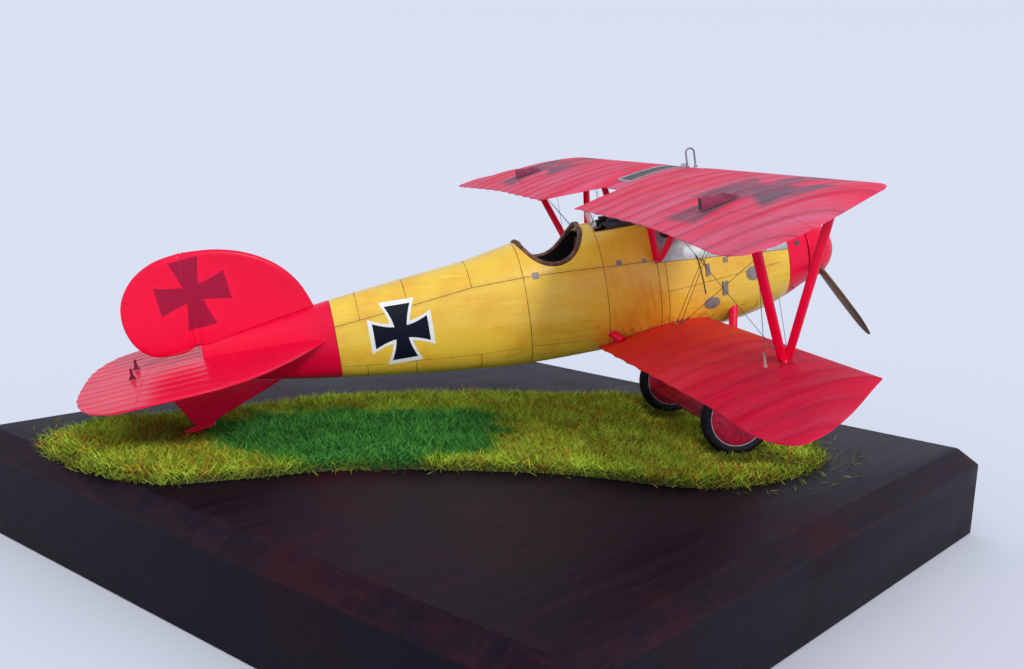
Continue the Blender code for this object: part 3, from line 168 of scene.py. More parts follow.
class Finish:
    """A material under construction: its nodes, and the shader at its end."""

    def __init__(self, name, colour=(0.5, 0.5, 0.5), roughness=0.5, metallic=0.0, **constants):
        self.material = bpy.data.materials.new(name)
        self.material.use_nodes = True
        self.tree = self.material.node_tree
        self.shader = self.tree.nodes["Principled BSDF"]
        self.put("Base Color", (*colour, 1.0))
        self.put("Roughness", roughness)
        self.put("Metallic", metallic)
        for key, value in constants.items():
            self.put(key.replace("_", " "), value)

    def put(self, socket, value):
        """Sets or links a socket of the shader."""
        if isinstance(value, Wire):
            self.tree.links.new(value.socket, self.shader.inputs[socket])
        else:
            self.shader.inputs[socket].default_value = value
        return self

    def node(self, kind, settings=None, *values, out=0, **named):
        made = self.tree.nodes.new(kind)
        for key, value in (settings or {}).items():
            if key == "stops":
                ramp = made.color_ramp
                while len(ramp.elements) < len(value):
                    ramp.elements.new(0.5)
                for stop, (position, colour) in zip(ramp.elements, value):
                    stop.position, stop.color = position, (*colour, 1.0)
            else:
                setattr(made, key, value)
        pairs = list(zip(made.inputs, values))
        pairs += [(made.inputs[key.replace("_", " ")], value) for key, value in named.items()]
        for socket, value in pairs:
            if isinstance(value, Wire):
                self.tree.links.new(value.socket, socket)
            elif value is not None:
                socket.default_value = value
        return Wire(self, made.outputs[out])

    def mix(self, base, other, factor, blend="MIX"):
        """Two colours, as tuples or wires, mixed by a factor."""
        made = self.tree.nodes.new("ShaderNodeMix")
        made.data_type, made.blend_type = "RGBA", blend
        for index, value in ((0, factor), (6, base), (7, other)):
            if isinstance(value, Wire):
                self.tree.links.new(value.socket, made.inputs[index])
            elif index:
                made.inputs[index].default_value = (*value, 1.0)
            else:
                made.inputs[index].default_value = value
        return Wire(self, made.outputs[2])

    def where(self, vector=None):
        """The x, a and u of a point, in millimetres in the aircraft's frame, and the three as a vector."""
        vector = self.node("ShaderNodeMapping", {"vector_type": "TEXTURE"},
                           self.node("ShaderNodeTexCoord", None, out="Object"),
                           ORIGIN * MM, (-NOSE_UP, 0.0, 0.0), (MM, MM, MM))
        return self.split(vector) + (vector,)

    def on_stand(self, turn=0.0):
        vector = self.node("ShaderNodeMapping", {"vector_type": "TEXTURE"},
                           self.node("ShaderNodeTexCoord", None, out="Object"),
                           (0.0, 0.0, 0.0), (0.0, 0.0, turn), (MM, MM, MM))
        return self.split(vector) + (vector,)

    def split(self, vector):
        parts = self.tree.nodes.new("ShaderNodeSeparateXYZ")
        self.tree.links.new(vector.socket, parts.inputs[0])
        return tuple(Wire(self, output) for output in parts.outputs)

    def join(self, x, y, z):
        return self.node("ShaderNodeCombineXYZ", None, x, y, z)

    def noise(self, vector, scale, detail=3.0, roughness=0.55, distortion=0.0):
        return self.node("ShaderNodeTexNoise", None, Vector=vector, Scale=scale, Detail=detail,
                         Roughness=roughness, Distortion=distortion)

    def streaks(self, vector, along, across, other, detail=3.0):
        """Noise drawn out along an axis: vector components are scaled by the three numbers."""
        stretched = self.node("ShaderNodeVectorMath", {"operation": "MULTIPLY"}, vector, (along, across, other))
        return self.noise(stretched, 1.0, detail)

    def bump(self, height, distance, strength=1.0):
        """Height runs 0 to 1, distance is in millimetres."""
        return self.put("Normal", self.node("ShaderNodeBump", None, Strength=strength,
                                            Distance=distance * MM, Height=height))


RUDDER_CROSS_TILT = math.radians(-5.5)
RED = (0.86, 0.0015, 0.042)
DEEP_RED = (0.46, 0.0015, 0.030)
# pink of the streaks on the wings: partly brush strokes, partly painted sheen
PINK_STROKES_AND_SHEEN = (0.70, 0.18, 0.29)
YELLOW = (0.90, 0.58, 0.050)
AMBER = (0.80, 0.30, 0.012)
BROWN_INK = (0.13, 0.050, 0.008)


def cross_mask(finish, p, q, centre, size, waist, flare, soft=0.12):
    """1 inside a cross pattée of that half size, drawn in the plane of p and q."""
    dp, dq = abs(p - centre[0]), abs(q - centre[1])

    def arm(along, across):
        half = waist + (flare - waist) * (along / size) ** 1.6
        inside = (half - across).ramp(-soft, soft)
        return inside * (size - along).ramp(-soft, soft)

    return arm(dp, dq).most(arm(dq, dp))


def wood_finish():
    f = Finish("stained_wood", (0.03, 0.01, 0.012), 0.45, Specular_IOR_Level=0.10)
    x, y, z, spot = f.on_stand(PLINTH_TURN)
    warp = f.noise(spot, 0.02, 2.0) * 9.0
    rings = f.join(x + warp, y * 0.035, z * 0.5)
    grain = f.noise(rings, 0.55, 5.0, 0.62)
    pores = f.noise(f.join(x * 3.2, y * 0.12, z * 3.2), 1.0, 2.0)
    # painted sheen: along the grain the top and chamfer are mixed towards a paler purple-brown, while the sides stay
    # near black as painted shade
    dark = grain.ramp(0.30, 0.85)
    colour = f.mix((0.0024, 0.0018, 0.0060), (0.022, 0.0070, 0.0150), dark * (z > 15.5) * 0.9 + 0.1)
    # reddish patches, partly rubbed wear and partly painted sheen, stronger on the top and chamfer
    rub_and_sheen = f.noise(spot, 0.035, 4.0, 0.6).ramp(0.50, 0.74)
    colour = f.mix(colour, (0.038, 0.0045, 0.0080), rub_and_sheen * (0.15 + 0.45 * (z > 15.5)))
    rim = abs(x).most(abs(y)).ramp(PLINTH_SIDE * 0.5 - 4.6, PLINTH_SIDE * 0.5 - 3.4)
    worn = f.noise(f.join(x * 0.35, y, z * 2.0), 0.35, 5.0, 0.7).ramp(0.42, 0.70)
    edge = rim * (z - PLINTH_THICKNESS + 4.4).ramp(0.0, 0.5)
    colour = f.mix(colour, (0.050, 0.009, 0.010), edge * worn * 0.35)
    colour = f.mix(colour, (0.002, 0.001, 0.002), pores.ramp(0.60, 0.72) * 0.6)
    f.put("Base Color", colour)
    f.put("Roughness", 0.40 + 0.20 * grain + 0.08 * rub_and_sheen)
    f.bump(grain * 0.7 + pores.ramp(0.55, 0.7) * -0.5, 0.12, 0.5)
    return f


def groundwork_finish():
    f = Finish("groundwork", (0.05, 0.06, 0.01), 0.95)
    x, y, z, spot = f.on_stand()
    clumps = f.noise(spot, 0.5, 4.0)
    f.put("Base Color", f.mix((0.022, 0.032, 0.006), (0.075, 0.060, 0.014), clumps.ramp(0.4, 0.65)))
    f.bump(clumps, 0.5, 0.9)
    return f


def grass_finish():
    f = Finish("grass_fibre", (0.25, 0.3, 0.04), 0.75, Specular_IOR_Level=0.15)
    x, y, z, spot = f.on_stand()
    own = f.node("ShaderNodeAttribute", {"attribute_name": "shade"}, out="Fac")
    deep = f.node("ShaderNodeAttribute", {"attribute_name": "green"}, out="Fac")
    fine = f.noise(spot, 0.35, 3.0)
    light = f.mix((0.17, 0.30, 0.010), (0.74, 0.92, 0.080), (own * 0.9 + fine * 0.6).ramp(0.35, 1.05))
    rust = f.noise(spot, 0.09, 4.0).ramp(0.36, 0.54)
    rusty = f.mix(light, (0.50, 0.17, 0.020), own.ramp(0.70, 0.80) * rust)
    green = f.mix((0.012, 0.10, 0.020), (0.11, 0.42, 0.055), (own * 0.8 + fine * 0.5).ramp(0.3, 1.0))
    colour = f.mix(rusty, green, (deep + (own - 0.5) * 0.5).ramp(0.35, 0.65))
    # painted shadow: a brownish patch on the fibres round the tail skid
    bx, by = (x + 1.0) / 10.0, (y - 66.0) / 9.0
    skid_shadow = (bx * bx + by * by).ramp(0.3, 1.2, 1.0, 0.0) * own.ramp(0.35, 0.5)
    colour = f.mix(colour, (0.17, 0.060, 0.012), skid_shadow * 0.85)
    # painted shade: fibres are mixed towards near black low down by the soil, where they shade each other
    low = (z - MAT_TOP).ramp(-0.3, 1.1)
    f.put("Base Color", f.mix(f.mix(colour, (0.012, 0.020, 0.004), 0.62), colour, low))
    return f


def panel_number(a, upper):
    """A different whole number on each ply panel."""
    count = 0.0
    for line, parts in FRAME_LINES.items():
        if parts == "all":
            count = (a > line) + count
    return count + upper * 11.0


def height_along(f, a, rows):
    """The height of a seam, followed from one station to the next."""
    height = rows[0][1]
    for (a0, u0), (a1, u1) in zip(rows, rows[1:]):
        height = f.node("ShaderNodeMapRange", None, a, a0, a1, 0.0, u1 - u0) + height
    return height


def ply_finish():
    f = Finish("varnished_ply", YELLOW, 0.3, Coat_Weight=0.6, Specular_IOR_Level=0.25)
    f.put("Coat Roughness", 0.16)
    x, a, u, spot = f.where()
    seam_u = height_along(f, a, SIDE_SEAM)
    low_u = height_along(f, a, LOW_SEAM)
    upper, middle, lower = u > seam_u, (u < seam_u) * (u > low_u), u < low_u
    number = panel_number(a, upper)
    turn = f.node("ShaderNodeTexWhiteNoise", {"noise_dimensions": "1D"}, None, number)
    lean = (turn - 0.5) * 0.16 + 1.5 * (a > 41.4) * (a < 54.4)
    around = u + abs(x) * 0.35
    p = a * lean.cosine() + around * lean.sine()
    q = around * lean.cosine() - a * lean.sine()
    grain = f.noise(f.join(p * 0.10, q * 1.5, number * 3.7), 1.0, 5.0, 0.7)
    brush = f.noise(f.join(p * 0.30, q * 5.0, number * 5.1), 1.0, 2.0)
    patches = f.noise(spot, 0.12, 4.0, 0.6)
    warm = grain.ramp(0.46, 0.76) * 0.55 + patches.ramp(0.42, 0.68) * 0.65 + (brush - 0.5) * 0.40
    front = a.ramp(108.0, 42.0) * u.ramp(7.0, -9.0)
    colour = f.mix(YELLOW, AMBER, (warm * (0.50 + 0.45 * front) + 0.12 * (a < 54.4) * (a > 41.4)).most(0.0).least(1.0))
    colour = f.mix(colour, (0.95, 0.72, 0.14), grain.ramp(0.42, 0.26) * 0.6)
    specks = f.noise(f.join(p * 0.8, q * 2.6, 4.0), 1.0, 2.0).ramp(0.70, 0.76)
    colour = f.mix(colour, (0.30, 0.10, 0.01), specks * 0.55)
    rubbed = f.noise(spot, 0.8, 5.0).ramp(0.50, 0.62) * u.ramp(-6.0, -9.0) * (a < 54.0)
    colour = f.mix(colour, (0.50, 0.14, 0.03), rubbed * 0.6)
    # darker towards the bottom of the body, in patches
    darker_below = f.noise(spot, 0.35, 4.0).ramp(0.56, 0.8) * u.ramp(-4.0, -11.0)
    colour = f.mix(colour, (0.28, 0.13, 0.02), darker_below * 0.4)
    lines = (u - seam_u).line(0.0, 0.09).most((u - low_u).line(0.0, 0.08) * (a > 54.4) * 0.7)
    for line, parts in FRAME_LINES.items():
        where = {"all": 1.0, "outer": upper.most(lower)}[parts]
        lines = lines.most((a - line).line(0.0, 0.10) * where)
    lines = lines.most((a - 41.4).line(0.0, 0.09) * (u < 4.4))
    forward = f.node("ShaderNodeMapRange", None, a, 15.9, 41.3, -0.2, -1.9)
    lines = lines.most((u - forward).line(0.0, 0.08) * (a < 41.4) * (a > 15.9))
    uneven = f.noise(spot, 0.9, 3.0).ramp(0.30, 0.6, 0.30, 1.0)
    shade = lines * uneven + abs(u - seam_u).ramp(0.0, 0.9, 0.12, 0.0)
    f.put("Base Color", f.mix(colour, BROWN_INK, shade.least(0.85)))
    f.put("Roughness", 0.30 + 0.16 * grain + 0.2 * lines)
    f.bump(grain * 0.25 + brush * 0.12 - lines, 0.05, 0.8)
    return f


def red_finish(name, roughness, base=RED, mottling=0.3, crossed=False, ribbed=None, pink_strokes_and_sheen=0.0,
               pitch=RIB_PITCH, inked=0.55, sheen=0.20):
    """Hand-brushed red lacquer, paler where the brush dragged and on the ribs; on the wings its pink streaks are partly
    brush strokes and partly painted sheen, and it is darker close to each rib as painted shade.
    """
    f = Finish(name, base, roughness, Specular_IOR_Level=sheen)
    x, a, u, spot = f.where()
    clouds = f.noise(spot, 0.11, 4.0, 0.6)
    fine = f.noise(spot, 1.3, 3.0)
    colour = f.mix(base, DEEP_RED, clouds.ramp(0.45, 0.75) * mottling)
    colour = f.mix(colour, (0.80, 0.02, 0.06), clouds.ramp(0.45, 0.25) * 0.5 * mottling)
    height = fine * 0.12
    if ribbed:
        strokes = f.noise(f.join(x * 1.6, a * 0.05, 0.0), 1.0, 4.0, 0.62)
        broad = f.noise(f.join(x * 0.16, a * 0.05, 1.7), 1.0, 3.0)
        near = abs(((abs(x) - ribbed) / pitch + 0.5).fraction() - 0.5) * pitch
        rib = near.ramp(0.0, 0.28, 1.0, 0.0)
        sag = near.ramp(0.3, 2.2, 1.0, 0.0)
        # pink streaks, partly brush strokes and partly painted sheen
        colour = f.mix(colour, PINK_STROKES_AND_SHEEN, (strokes.ramp(0.36, 0.78) * 0.55 + broad.ramp(0.35, 0.7) * 0.5) * pink_strokes_and_sheen)
        # painted shade: darker red close to each rib, where the fabric dips
        colour = f.mix(colour, DEEP_RED, sag * 0.30)
        colour = f.mix(colour, (0.16, 0.01, 0.03), rib * inked * (0.35 + 0.65 * broad.ramp(0.35, 0.6)))
        height = height + strokes * 0.12
    if crossed:
        c, s = math.cos(RUDDER_CROSS_TILT), math.sin(RUDDER_CROSS_TILT)
        across, up = (a - 134.7) * c + (u - 13.6) * s, (u - 13.6) * c - (a - 134.7) * s
        mask = cross_mask(f, across, up, (0.0, 0.0), 6.8, 1.45, 2.9)
        halo = cross_mask(f, across, up, (0.0, 0.0), 7.6, 2.2, 3.8)
        colour = f.mix(colour, (0.92, 0.004, 0.055), (halo - mask).most(0.0) * 0.5)
        colour = f.mix(colour, (0.31, 0.002, 0.036), mask * 0.92)
    if ribbed and pink_strokes_and_sheen > 0.5:
        old = cross_mask(f, abs(x), a, (59.5, 43.0), 14.2, 2.6, 6.7, 0.8)
        worn = f.noise(spot, 0.16, 5.0, 0.7).ramp(0.30, 0.60)
        colour = f.mix(colour, (0.14, 0.075, 0.105), old * (0.30 + 0.62 * worn))
    f.put("Base Color", colour)
    f.put("Roughness", roughness + 0.12 * clouds + 0.06 * fine)
    f.bump(height, 0.05, 0.7)
    return f


def lower_red_finish():
    """The lower wing: orange where the first coat was thin, near the root and along the middle."""
    f = red_finish("lower_wing_red", 0.40, (0.70, 0.0012, 0.034), ribbed=9.6, pink_strokes_and_sheen=0.20, mottling=0.5, inked=0.25, sheen=0.05)
    x, a, u, spot = f.where()
    base = f.shader.inputs["Base Color"].links[0].from_socket
    thin = f.noise(f.join(x * 0.09, a * 0.05, 0.3), 1.0, 3.0)
    root = abs(x).ramp(62.0, 16.0)
    amount = root * (0.35 + thin.ramp(0.3, 0.7) * 0.65)
    f.put("Base Color", f.mix(Wire(f, base), (0.80, 0.050, 0.006), amount * 0.75))
    return f


def metal_finish(name, colour, roughness, metallic, grime=(0.03, 0.025, 0.02), amount=0.4, grain=(1.0, 1.0, 1.0)):
    f = Finish(name, colour, roughness, metallic)
    x, a, u, spot = f.where()
    clouds = f.streaks(spot, *(0.5 * g for g in grain), 4.0)
    specks = f.streaks(spot, *(4.0 * g for g in grain), 2.0)
    f.put("Base Color", f.mix(colour, grime, clouds.ramp(0.42, 0.72) * amount))
    f.put("Roughness", roughness + 0.2 * clouds - 0.1)
    f.put("Metallic", metallic - metallic * 0.5 * clouds.ramp(0.5, 0.75))
    f.bump(specks, 0.02, 0.6)
    return f


def leather_finish():
    f = Finish("leather", (0.13, 0.045, 0.02), 0.55)
    x, a, u, spot = f.where()
    grain = f.node("ShaderNodeTexVoronoi", None, Vector=spot, Scale=4.5)
    wear = f.noise(spot, 0.7, 4.0)
    f.put("Base Color", f.mix((0.085, 0.026, 0.012), (0.24, 0.095, 0.045), wear.ramp(0.4, 0.7)))
    f.put("Roughness", 0.45 + 0.25 * wear)
    f.bump(grain, 0.05, 0.6)
    return f


def laminated_finish():
    """Blade of glued layers: dark and pale lines that run along the blade, paler along one edge."""
    f = Finish("laminated_wood", (0.1, 0.06, 0.04), 0.35, Specular_IOR_Level=0.35)
    x, a, u, spot = f.where()
    c, s = math.cos(PROPELLER_TURN), math.sin(PROPELLER_TURN)
    across = x * c - u * s
    along_ = x * s + u * c
    layers = ((a - PROPELLER_STATION) * 5.5 + across * 0.9).sine()
    fibre = f.noise(f.join(across * 2.4, a * 2.4, along_ * 0.10), 1.0, 4.0)
    colour = f.mix((0.075, 0.045, 0.055), (0.22, 0.14, 0.10), (layers * 0.35 + fibre).ramp(0.35, 0.95))
    colour = f.mix(colour, (0.20, 0.18, 0.035), abs(across).ramp(1.0, 1.5) * 0.6)
    f.put("Base Color", colour)
    f.put("Roughness", 0.3 + 0.15 * fibre)
    f.bump(fibre, 0.03, 0.5)
    return f


def rubber_finish():
    f = Finish("tyre_rubber", (0.012, 0.012, 0.014), 0.6, Specular_IOR_Level=0.2)
    x, a, u, spot = f.where()
    dust = f.noise(spot, 0.6, 4.0)
    f.put("Base Color", f.mix((0.004, 0.004, 0.008), (0.022, 0.019, 0.020), dust.ramp(0.5, 0.8) * 0.5))
    f.put("Roughness", 0.5 + 0.2 * dust)
    f.bump(f.noise(spot, 5.0, 2.0), 0.02, 0.5)
    return f


def spoke_finish():
    """Doped cloth over a spoked wheel: dark lines where it lies on the spokes."""
    f = Finish("disc_red", (0.45, 0.005, 0.035), 0.5, Specular_IOR_Level=0.25)
    x, a, u, spot = f.where()
    da, du = a - AXLE_A, u - AXLE_U
    turn = f.node("ShaderNodeMath", {"operation": "ARCTAN2"}, du, da)
    reach = f.node("ShaderNodeMath", {"operation": "SQRT"}, da * da + du * du)
    spokes = abs((turn * 10.0).sine()).ramp(0.0, 0.35, 1.0, 0.0) * reach.ramp(1.2, 2.0) * reach.ramp(5.6, 5.2)
    dust = f.noise(spot, 0.9, 4.0)
    colour = f.mix((0.50, 0.006, 0.040), (0.24, 0.010, 0.035), dust.ramp(0.38, 0.7))
    f.put("Base Color", f.mix(colour, (0.10, 0.008, 0.020), spokes * 0.6))
    f.bump(spokes * -1.0 + dust * 0.2, 0.05, 0.6)
    return f


def radiator_finish():
    f = Finish("radiator_grey", (0.16, 0.165, 0.17), 0.45, 0.55)
    x, a, u, spot = f.where()
    core = (x * 7.0).sine() * 0.5 + (a * 7.0).sine() * 0.5
    dirt = f.noise(spot, 0.6, 4.0)
    f.put("Base Color", f.mix((0.09, 0.09, 0.095), (0.26, 0.25, 0.25), core.ramp(-0.4, 0.8) * 0.6 + dirt * 0.2))
    f.bump(core * 0.5, 0.05, 0.8)
    return f


def plain_finish(name, colour, roughness, metallic=0.0, spread=0.35, scale=1.5, **constants):
    """A paint or fitting with a little unevenness in colour, gloss and surface."""
    f = Finish(name, colour, roughness, metallic, **constants)
    x, a, u, spot = f.where()
    clouds = f.noise(spot, scale, 4.0)
    darker = tuple(c * (1.0 - spread) for c in colour)
    f.put("Base Color", f.mix(colour, darker, clouds.ramp(0.35, 0.7)))
    f.put("Roughness", roughness + 0.15 * clouds - 0.05)
    f.bump(clouds, 0.02, 0.4)
    return f


def make_finishes():
    made = {
        "stained_wood": wood_finish(),
        "groundwork": groundwork_finish(),
        "grass_fibre": grass_finish(),
        "varnished_ply": ply_finish(),
        "red_paint": red_finish("red_paint", 0.26),
        "axle_red": plain_finish("axle_red", (0.34, 0.010, 0.018), 0.45, scale=0.4, Specular_IOR_Level=0.12),
        "tail_plane_red": red_finish("tail_plane_red", 0.22, mottling=0.25),
        "plate_grey": metal_finish("plate_grey", (0.27, 0.24, 0.22), 0.5, 0.1, (0.12, 0.10, 0.08), 0.5),
        # near black, used as painted shade: the cockpit's inner walls and the crank fairings' rear faces
        "shade_dark": plain_finish("shade_dark", (0.022, 0.014, 0.012), 0.6),
        "pale_fitting": plain_finish("pale_fitting", (0.50, 0.36, 0.26), 0.5),
        # the crank fairings get a much darker red than the wing: painted shade on their sides
        "crank_shaded_red": plain_finish("crank_shaded_red", (0.30, 0.035, 0.085), 0.5, scale=0.8, Specular_IOR_Level=0.25),
        "rim_grey": plain_finish("rim_grey", (0.42, 0.42, 0.43), 0.45),
        "tail_red": red_finish("tail_red", 0.24, crossed=True, mottling=0.2),
        "upper_wing_red": red_finish("upper_wing_red", 0.42, ribbed=13.4, pink_strokes_and_sheen=0.9),
                "lower_wing_red": lower_red_finish(),
        "dark_red": plain_finish("dark_red", (0.20, 0.004, 0.030), 0.45, Specular_IOR_Level=0.2),
        "laminated_wood": laminated_finish(),
        "grey_metal": metal_finish("grey_metal", (0.44, 0.47, 0.46), 0.36, 0.25, (0.20, 0.21, 0.20), 0.6),
        "gun_metal": metal_finish("gun_metal", (0.050, 0.050, 0.056), 0.34, 0.85, (0.02, 0.018, 0.02), 0.5),
        "engine_metal": metal_finish("engine_metal", (0.115, 0.115, 0.12), 0.40, 0.7, (0.03, 0.026, 0.022), 0.7),
        "burnt_steel": metal_finish("burnt_steel", (0.16, 0.055, 0.028), 0.6, 0.4, (0.05, 0.025, 0.018), 0.8),
        "brass": metal_finish("brass", (0.55, 0.36, 0.12), 0.35, 0.9, (0.2, 0.11, 0.03), 0.5),
        "leather": leather_finish(),
        "floor_wood": plain_finish("floor_wood", (0.27, 0.16, 0.07), 0.6),
        "interior_wood": plain_finish("interior_wood", (0.20, 0.105, 0.04), 0.55),
        "panel_black": plain_finish("panel_black", (0.018, 0.018, 0.02), 0.4),
        "dial_white": plain_finish("dial_white", (0.72, 0.70, 0.64), 0.35, spread=0.15),
        "radiator_grey": radiator_finish(),
        "pipe_metal": metal_finish("pipe_metal", (0.33, 0.33, 0.35), 0.35, 0.8),
        "tyre_rubber": rubber_finish(),
        "disc_red": spoke_finish(),
        "wire_grey": plain_finish("wire_grey", (0.16, 0.16, 0.18), 0.35, 0.5),
        "belt_cloth": plain_finish("belt_cloth", (0.42, 0.36, 0.24), 0.8),
        "marking_black": plain_finish("marking_black", (0.003, 0.006, 0.016), 0.45, spread=0.3, Specular_IOR_Level=0.15),
        "marking_white": plain_finish("marking_white", (0.90, 0.89, 0.84), 0.4, spread=0.1),
        "clear_sheet": plain_finish("clear_sheet", (0.86, 0.90, 0.90), 0.06, spread=0.02, Alpha=0.28),
    }
    return {name: finish.material for name, finish in made.items()}


PAINT = make_finishes()


# Meshes

class Shape:
    """Closed solids gathered into one mesh, in millimetres."""

    def __init__(self, matrix=None):
        self.points, self.faces, self.matrix = [], [], matrix or Matrix.Identity(4)

    def add(self, points, faces):
        start = len(self.points)
        self.points += [self.matrix @ Vector(p) for p in points]
        self.faces += [tuple(start + i for i in face) for face in faces]
        return self

    def loft(self, rings, closed=False):
        """Skins a row of equal closed rings. The ends are capped, or joined to each other if closed."""
        count, rows = len(rings[0]), len(rings)
        faces = [] if closed else [tuple(range(count)), tuple((rows - 1) * count + i for i in range(count))]
        for row in range(rows if closed else rows - 1):
            here, there = row * count, (row + 1) % rows * count
            for i in range(count):
                j = (i + 1) % count
                faces.append((here + i, here + j, there + j, there + i))
        return self.add([p for ring in rings for p in ring], faces)

    def turned(self, profile, axis="X", centre=(0.0, 0.0, 0.0), steps=32, closed=False):
        """A profile of (along, radius) turned about an axis; closed makes a ring."""
        rings = []
        for i in range(steps):
            angle = 2.0 * math.pi * i / steps
            c, s = math.cos(angle), math.sin(angle)
            turn = {"X": lambda t, r: (t, r * c, r * s), "Y": lambda t, r: (r * c, t, r * s),
                    "Z": lambda t, r: (r * c, r * s, t)}[axis]
            rings.append([tuple(Vector(turn(t, r)) + Vector(centre)) for t, r in profile])
        if closed:
            return self.loft(rings, closed=True)
        return self.loft([list(ring) for ring in zip(*rings)])

    def box(self, low, high, edge=0.0):
        """A box, its long edges taken off if edge is given."""
        (x0, y0, z0), (x1, y1, z1) = low, high
        e = edge
        outline = [(x0 + e, z0), (x1 - e, z0), (x1, z0 + e), (x1, z1 - e), (x1 - e, z1), (x0 + e, z1),
                   (x0, z1 - e), (x0, z0 + e)] if e else [(x0, z0), (x1, z0), (x1, z1), (x0, z1)]
        if not e:
            return self.loft([[(x, y, z) for x, z in outline] for y in (y0, y1)])
        middle = Vector((0.5 * (x0 + x1), 0.5 * (z0 + z1)))
        rings = []
        for y, shrink in ((y0, e), (y0 + e, 0.0), (y1 - e, 0.0), (y1, e)):
            ring = []
            for x, z in outline:
                inward = Vector((math.copysign(shrink, middle.x - x), math.copysign(shrink, middle.y - z)))
                ring.append((x + inward.x * 0.99, y, z + inward.y * 0.99))
            rings.append(ring)
        return self.loft(rings)

    def tube(self, route, radius, sides=10, closed=False):
        """A round rod along a route; radius is one number or one for each point."""
        route = [Vector(p) for p in route]
        count = len(route)
        radii = radius if isinstance(radius, (list, tuple)) else [radius] * count
        rings, side = [], None
        for i, p in enumerate(route):
            if closed:
                along = route[(i + 1) % count] - route[i - 1]
            else:
                along = route[min(i + 1, count - 1)] - route[max(i - 1, 0)]
            along.normalize()
            if side is None:
                side = along.orthogonal().normalized()
            side = (side - along * side.dot(along)).normalized()
            other = along.cross(side)
            rings.append([tuple(p + radii[i] * (side * math.cos(t) + other * math.sin(t)))
                          for t in (2.0 * math.pi * k / sides for k in range(sides))])
        return self.loft(rings, closed)

    def ball(self, centre, radius, steps=10, squash=1.0):
        rows = max(4, steps // 2)
        profile = [(radius * squash * -math.cos(math.pi * i / rows), max(0.001, radius * math.sin(math.pi * i / rows)))
                   for i in range(rows + 1)]
        return self.turned(profile, "Z", centre, steps)

    def strut(self, start, end, chord, thickness, steps=20, taper=0.0):
        """A streamlined bar between two points, its chord fore and aft."""
        start, end = Vector(start), Vector(end)
        along = (end - start).normalized()
        wide = Vector((0.0, 1.0, 0.0))
        wide = (wide - along * wide.dot(along)).normalized()
        thin = along.cross(wide)
        rings = []
        for t in (0.0, 0.04, 0.15, 0.5, 0.85, 0.96, 1.0):
            size = 1.0 - taper * (abs(t - 0.5) * 2.0) ** 4
            ring = []
            for i in range(steps):
                angle = 2.0 * math.pi * i / steps
                c, s = math.cos(angle), math.sin(angle)
                front = 1.0 - 0.25 * c
                ring.append(tuple(start.lerp(end, t) + wide * (0.5 * chord * size * c)
                                  + thin * (0.5 * thickness * size * s * front)))
            rings.append(ring)
        return self.loft(rings)

    def patch(self, place, low, high, thickness, cells=(8, 8)):
        """A thin plate that follows place(s, t, lift) over a rectangle of s and t."""
        columns, rows = cells
        points, faces = [], []
        width = columns + 1
        for lift in (0.0, thickness):
            for j in range(rows + 1):
                for i in range(width):
                    s = low[0] + (high[0] - low[0]) * i / columns
                    t = low[1] + (high[1] - low[1]) * j / rows
                    points.append(place(s, t, lift))
        top = width * (rows + 1)
        for j in range(rows):
            for i in range(columns):
                a = j * width + i
                faces += [(a, a + 1, a + 1 + width, a + width), (top + a, top + a + width, top + a + width + 1, top + a + 1)]
        rim = [i for i in range(width)] + [j * width + columns for j in range(1, rows + 1)]
        rim += [rows * width + i for i in range(columns - 1, -1, -1)] + [j * width for j in range(rows - 1, 0, -1)]
        for a, b in zip(rim, rim[1:] + rim[:1]):
            faces.append((a, b, top + b, top + a))
        return self.add(points, faces)


def finish_mesh(item, paint, angle=35.0):
    item.data.materials.clear()
    item.data.materials.append(PAINT[paint])
    item.data.shade_smooth()
    item.data.set_sharp_from_angle(angle=math.radians(angle))


def own(item, slot, body="airframe", stands_for=()):
    """Attaches a finished piece to the body it rides on and hides the parts it stands for. The slot is not used."""
    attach(item, body)
    if stands_for:
        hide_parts(*stands_for)
    return item


def solid(name, shape, where=AIR, merge=0.0):
    """A mesh object from a Shape, with its faces turned out."""
    mesh = bpy.data.meshes.new(name)
    mesh.from_pydata([where @ p for p in shape.points], [], shape.faces)
    made = bmesh.new()
    made.from_mesh(mesh)
    if merge:
        bmesh.ops.remove_doubles(made, verts=made.verts, dist=merge * MM)
    bmesh.ops.recalc_face_normals(made, faces=made.faces)
    made.to_mesh(mesh)
    made.free()
    item = bpy.data.objects.new(name, mesh)
    bpy.context.scene.collection.objects.link(item)
    return item


def piece(name, shape, paint, slot, body="airframe", stands_for=(), where=AIR, angle=35.0, merge=0.0):
    item = solid(name, shape, where, merge)
    finish_mesh(item, paint, angle)
    return own(item, slot, body, stands_for)


def combine(item, shape, operation, where=AIR):
    """Cuts or keeps a piece with another solid, as a plain mesh."""
    other = solid("cutter", shape, where)
    step = item.modifiers.new("step", "BOOLEAN")
    step.operation, step.object, step.solver = operation, other, "EXACT"
    graph = bpy.context.evaluated_depsgraph_get()
    result = bpy.data.meshes.new_from_object(item.evaluated_get(graph))
    item.modifiers.remove(step)
    old, item.data = item.data, result
    bpy.data.meshes.remove(old)
    spent = other.data
    bpy.data.objects.remove(other, do_unlink=True)
    bpy.data.meshes.remove(spent)
    return item


# Curves and sections

